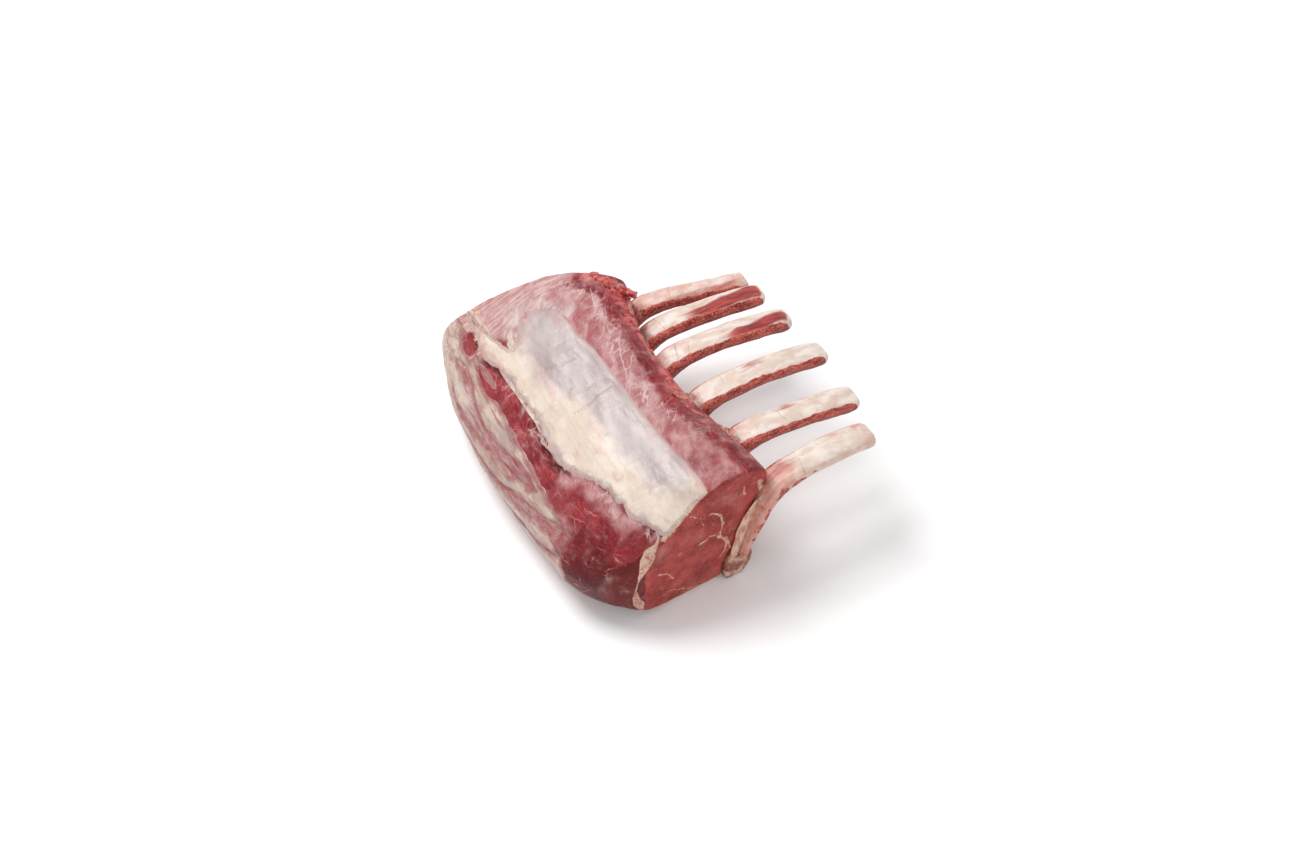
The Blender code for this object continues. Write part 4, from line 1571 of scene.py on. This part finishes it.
def rib_look():
    """Bone, its blush and red film, the side meat and the nicks."""
    look = Look("scraped rib bone", wet=0.1, scatter=0.12, scatter_size=2)
    streaky = look.grain(6, stretch=(1, 3, 3), detail=5)
    colour = look.tones((211, 191, 176), (227, 215, 206), streaky, 0.35, 0.65)
    patches = look.step(look.grain(4.5, stretch=(1, 1.6, 1), detail=1), 0.6, 0.64, 0, 0.5)
    colour = look.over(colour, tint(194, 180, 172), patches, 0.8)
    blush = look.ragged("blush", look.grain(7, detail=6), 0.6, 0.5)
    colour = look.over(colour, tint(204, 128, 112), blush, 0.75)
    drawn = look.grain(2.2, stretch=(1, 7, 5), detail=5)
    film = look.tones((112, 6, 14), (180, 62, 60), drawn, 0.3, 0.7)
    colour = look.over(colour, film, look.ragged("streak", drawn, 0.5, 0.4), 0.95)
    strip = look.grain(1.6, stretch=(1, 8, 1.6), detail=6)
    colour = look.mix(colour, tint(206, 138, 118), look.step(look.field("meat"), 0.05, 0.4, 0, 0.6))
    meat = look.ragged("meat", look.grain(2.2, detail=5), 0.5, 0.2)
    colour = look.mix(colour, side_meat(look, strip), meat)
    colour = look.mix(colour, tint(150, 104, 94), look.step(look.field("nick"), 0.3, 1, 0, 0.6))
    rough = look.blend(0.4, 0.5, look.field("meat"))
    height = look.sum(streaky, look.sum(strip, look.grain(1.4, detail=4)))
    return look.finish(colour, rough, height, 0.45)


rib_material = rib_look()
print(rib_material.name, len(rib_material.node_tree.nodes), "nodes")

# %% [markdown]
# ## Sawn bone
# The sawn chine shows spongy red-brown marrow in a paler frame of bone, with small dark holes.
# The strip of fat at the last rib's foot is of the same piece, and a field makes it pale.


# %% Chine bone
def chine_look():
    """Sawn spongy bone, with fat where a field says so."""
    look = Look("sawn chine bone", wet=0.1, scatter=0.1, scatter_size=1.5)
    pores = look.grain(1.4, detail=5)
    colour = look.tones((112, 52, 42), (170, 108, 90), pores, 0.36, 0.64)
    frame_share = look.step(look.grain(9, detail=6), 0.44, 0.6, 0, 0.9)
    colour = look.mix(colour, tint(212, 178, 156), frame_share)
    streaky = look.grain(3, stretch=(1, 1, 3), detail=6)
    fatty = look.tones((184, 130, 110), (220, 182, 160), streaky, 0.36, 0.62)
    colour = look.mix(colour, fatty, look.ragged("pale", look.grain(5, detail=6), 0.5, 0.4))
    holes = look.step(look.grain(3, stretch=(1, 1, 1.6), detail=2), 0.66, 0.74)
    colour = look.over(colour, tint(92, 30, 26), holes, 0.8)
    return look.finish(colour, look.blend(0.4, 0.55, pores), pores, 0.6)


chine_material = chine_look()
print(chine_material.name, len(chine_material.node_tree.nodes), "nodes")

# %% [markdown]
# ## One piece for each part of the rack
# The loose leaves join the piece they lie on, so that each part of the imported rack gets exactly
# one dressed piece. Every piece rides on the rack's one body, hides the solid that it stands in
# for, and wears one of the looks. The flesh, the wall and what was parted from them
# were only steps on the way, so they go.


# %% Dress and place the pieces
def dress(obj, material, slot, *replaced):
    """Gives a piece its material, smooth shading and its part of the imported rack."""
    obj.data.materials.clear()
    obj.data.materials.append(material)
    obj.data.shade_smooth()
    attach(obj, "root")
    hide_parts(*replaced)


def joined(name, *objects):
    """One object of several, with their painted fields kept."""
    first = objects[0]
    with bpy.context.temp_override(active_object=first, selected_editable_objects=list(objects)):
        bpy.ops.object.join()
    first.name = name
    return first


for guide in (flesh, wall, parted):
    bpy.data.objects.remove(guide)
fat_cover = joined("fat_skin_and_seam", fat_cover, seam, *fat_leaves)
chine = joined("sawn_chine", chine, foot_fat)
loin = joined("loin_meat", loin, *red_leaves)
dress(loin, muscle_material, "loin_muscle", "loin_muscle")
dress(back_muscle, muscle_material, "back_muscle", "back_muscle")
dress(fat_cover, cover_material, "fat_cover", "fat_cover")
dress(back_sheet, back_material, "back_fat", "back_fat")
dress(chine, chine_material, "chine", "chine")
for k, rib in enumerate(ribs, 1):
    dress(rib, rib_material, "rib_bone", f"rib_{k}")
for piece in (loin, back_muscle, fat_cover, back_sheet, chine, *ribs):
    print(piece.name, "has", len(piece.data.polygons), "faces")

# %% [markdown]
# ## Table
# The rack lies on a white table top that is far wider than the view, so no edge of it shows.
# Its paint is not quite even and not quite smooth, because a perfect plane looks unreal.

# %% Table
FLOOR_HALF = 4000     # half the table's side in millimetres
TABLE_CORNERS = np.array([(-1, -1, 0), (1, -1, 0), (1, 1, 0), (-1, 1, 0)]) * FLOOR_HALF
floor = mesh_from("table", TABLE_CORNERS, [(0, 1, 2, 3)])
table_look = Look("white table", wet=0, scatter=0, scatter_size=1)
paper = table_look.grain(60, detail=2)
white = table_look.mix(tint(246, 246, 246), tint(250, 250, 250), paper)
dull = table_look.blend(0.7, 0.8, paper)
floor.data.materials.append(table_look.finish(white, dull, paper, 0.05))
print("table", 2 * FLOOR_HALF, "mm wide")

# %% [markdown]
# ## Light
# The key light hangs high on the left and a little behind the rack, so the crown is bright and
# the ribs' sides fall into shade. It is a broad disc, because a small lamp would draw hard
# shadows and burn white spots into the wet meat. A weaker one opens up the shade on the cut
# face, and the white room around them lifts everything a little.


# %% Lights and room
def soft_light(name, where_from, size, power):
    """A round lamp of a size in metres, aimed at the middle of the rack's foot."""
    light = bpy.data.lights.new(name, "AREA")
    light.shape, light.size, light.energy = "DISK", size, power
    lamp = bpy.data.objects.new(name, light)
    lamp.location = where_from
    lamp.rotation_euler = (-Vector(where_from)).to_track_quat("-Z", "Y").to_euler()
    bpy.context.scene.collection.objects.link(lamp)


ROOM_LIGHT = 0.62
soft_light("key light", (-0.9, -0.5, 1.9), 1.1, 34)
soft_light("fill light", (1.6, -0.9, 1.2), 1.5, 8)
world = bpy.data.worlds.new("white room")
bpy.context.scene.world = world
world.use_nodes = True
world.node_tree.nodes["Background"].inputs["Color"].default_value = (1, 1, 1, 1)
world.node_tree.nodes["Background"].inputs["Strength"].default_value = ROOM_LIGHT
bpy.context.scene.view_settings.view_transform = "Standard"
print("room", round(ROOM_LIGHT, 2), "bright, colours shown as they are")

# %% [markdown]
# ## Camera
# The camera looks down at the cut end and along the crown, so the cut face, the fat cover and
# all six ribs show at once. A longish lens from nearly two metres keeps the rack from looking
# distorted.

# %% Camera
AIM = Vector((0.0293, -0.0149, 0.0576))    # metres, in the middle of what shows
AZIMUTH, ELEVATION = math.radians(59), math.radians(50)
DISTANCE = 1.8144     # metres from there
LENS, SENSOR = 70, 36
level = math.cos(ELEVATION)
toward = Vector((math.sin(AZIMUTH) * level, -math.cos(AZIMUTH) * level, math.sin(ELEVATION)))
camera = bpy.data.objects.new("camera", bpy.data.cameras.new("camera"))
camera.data.lens, camera.data.sensor_width = LENS, SENSOR
camera.data.clip_end = 20
camera.location = AIM + DISTANCE * toward
camera.rotation_euler = toward.to_track_quat("Z", "Y").to_euler()
bpy.context.scene.collection.objects.link(camera)
bpy.context.scene.camera = camera
print("camera at", [round(value, 3) for value in camera.location])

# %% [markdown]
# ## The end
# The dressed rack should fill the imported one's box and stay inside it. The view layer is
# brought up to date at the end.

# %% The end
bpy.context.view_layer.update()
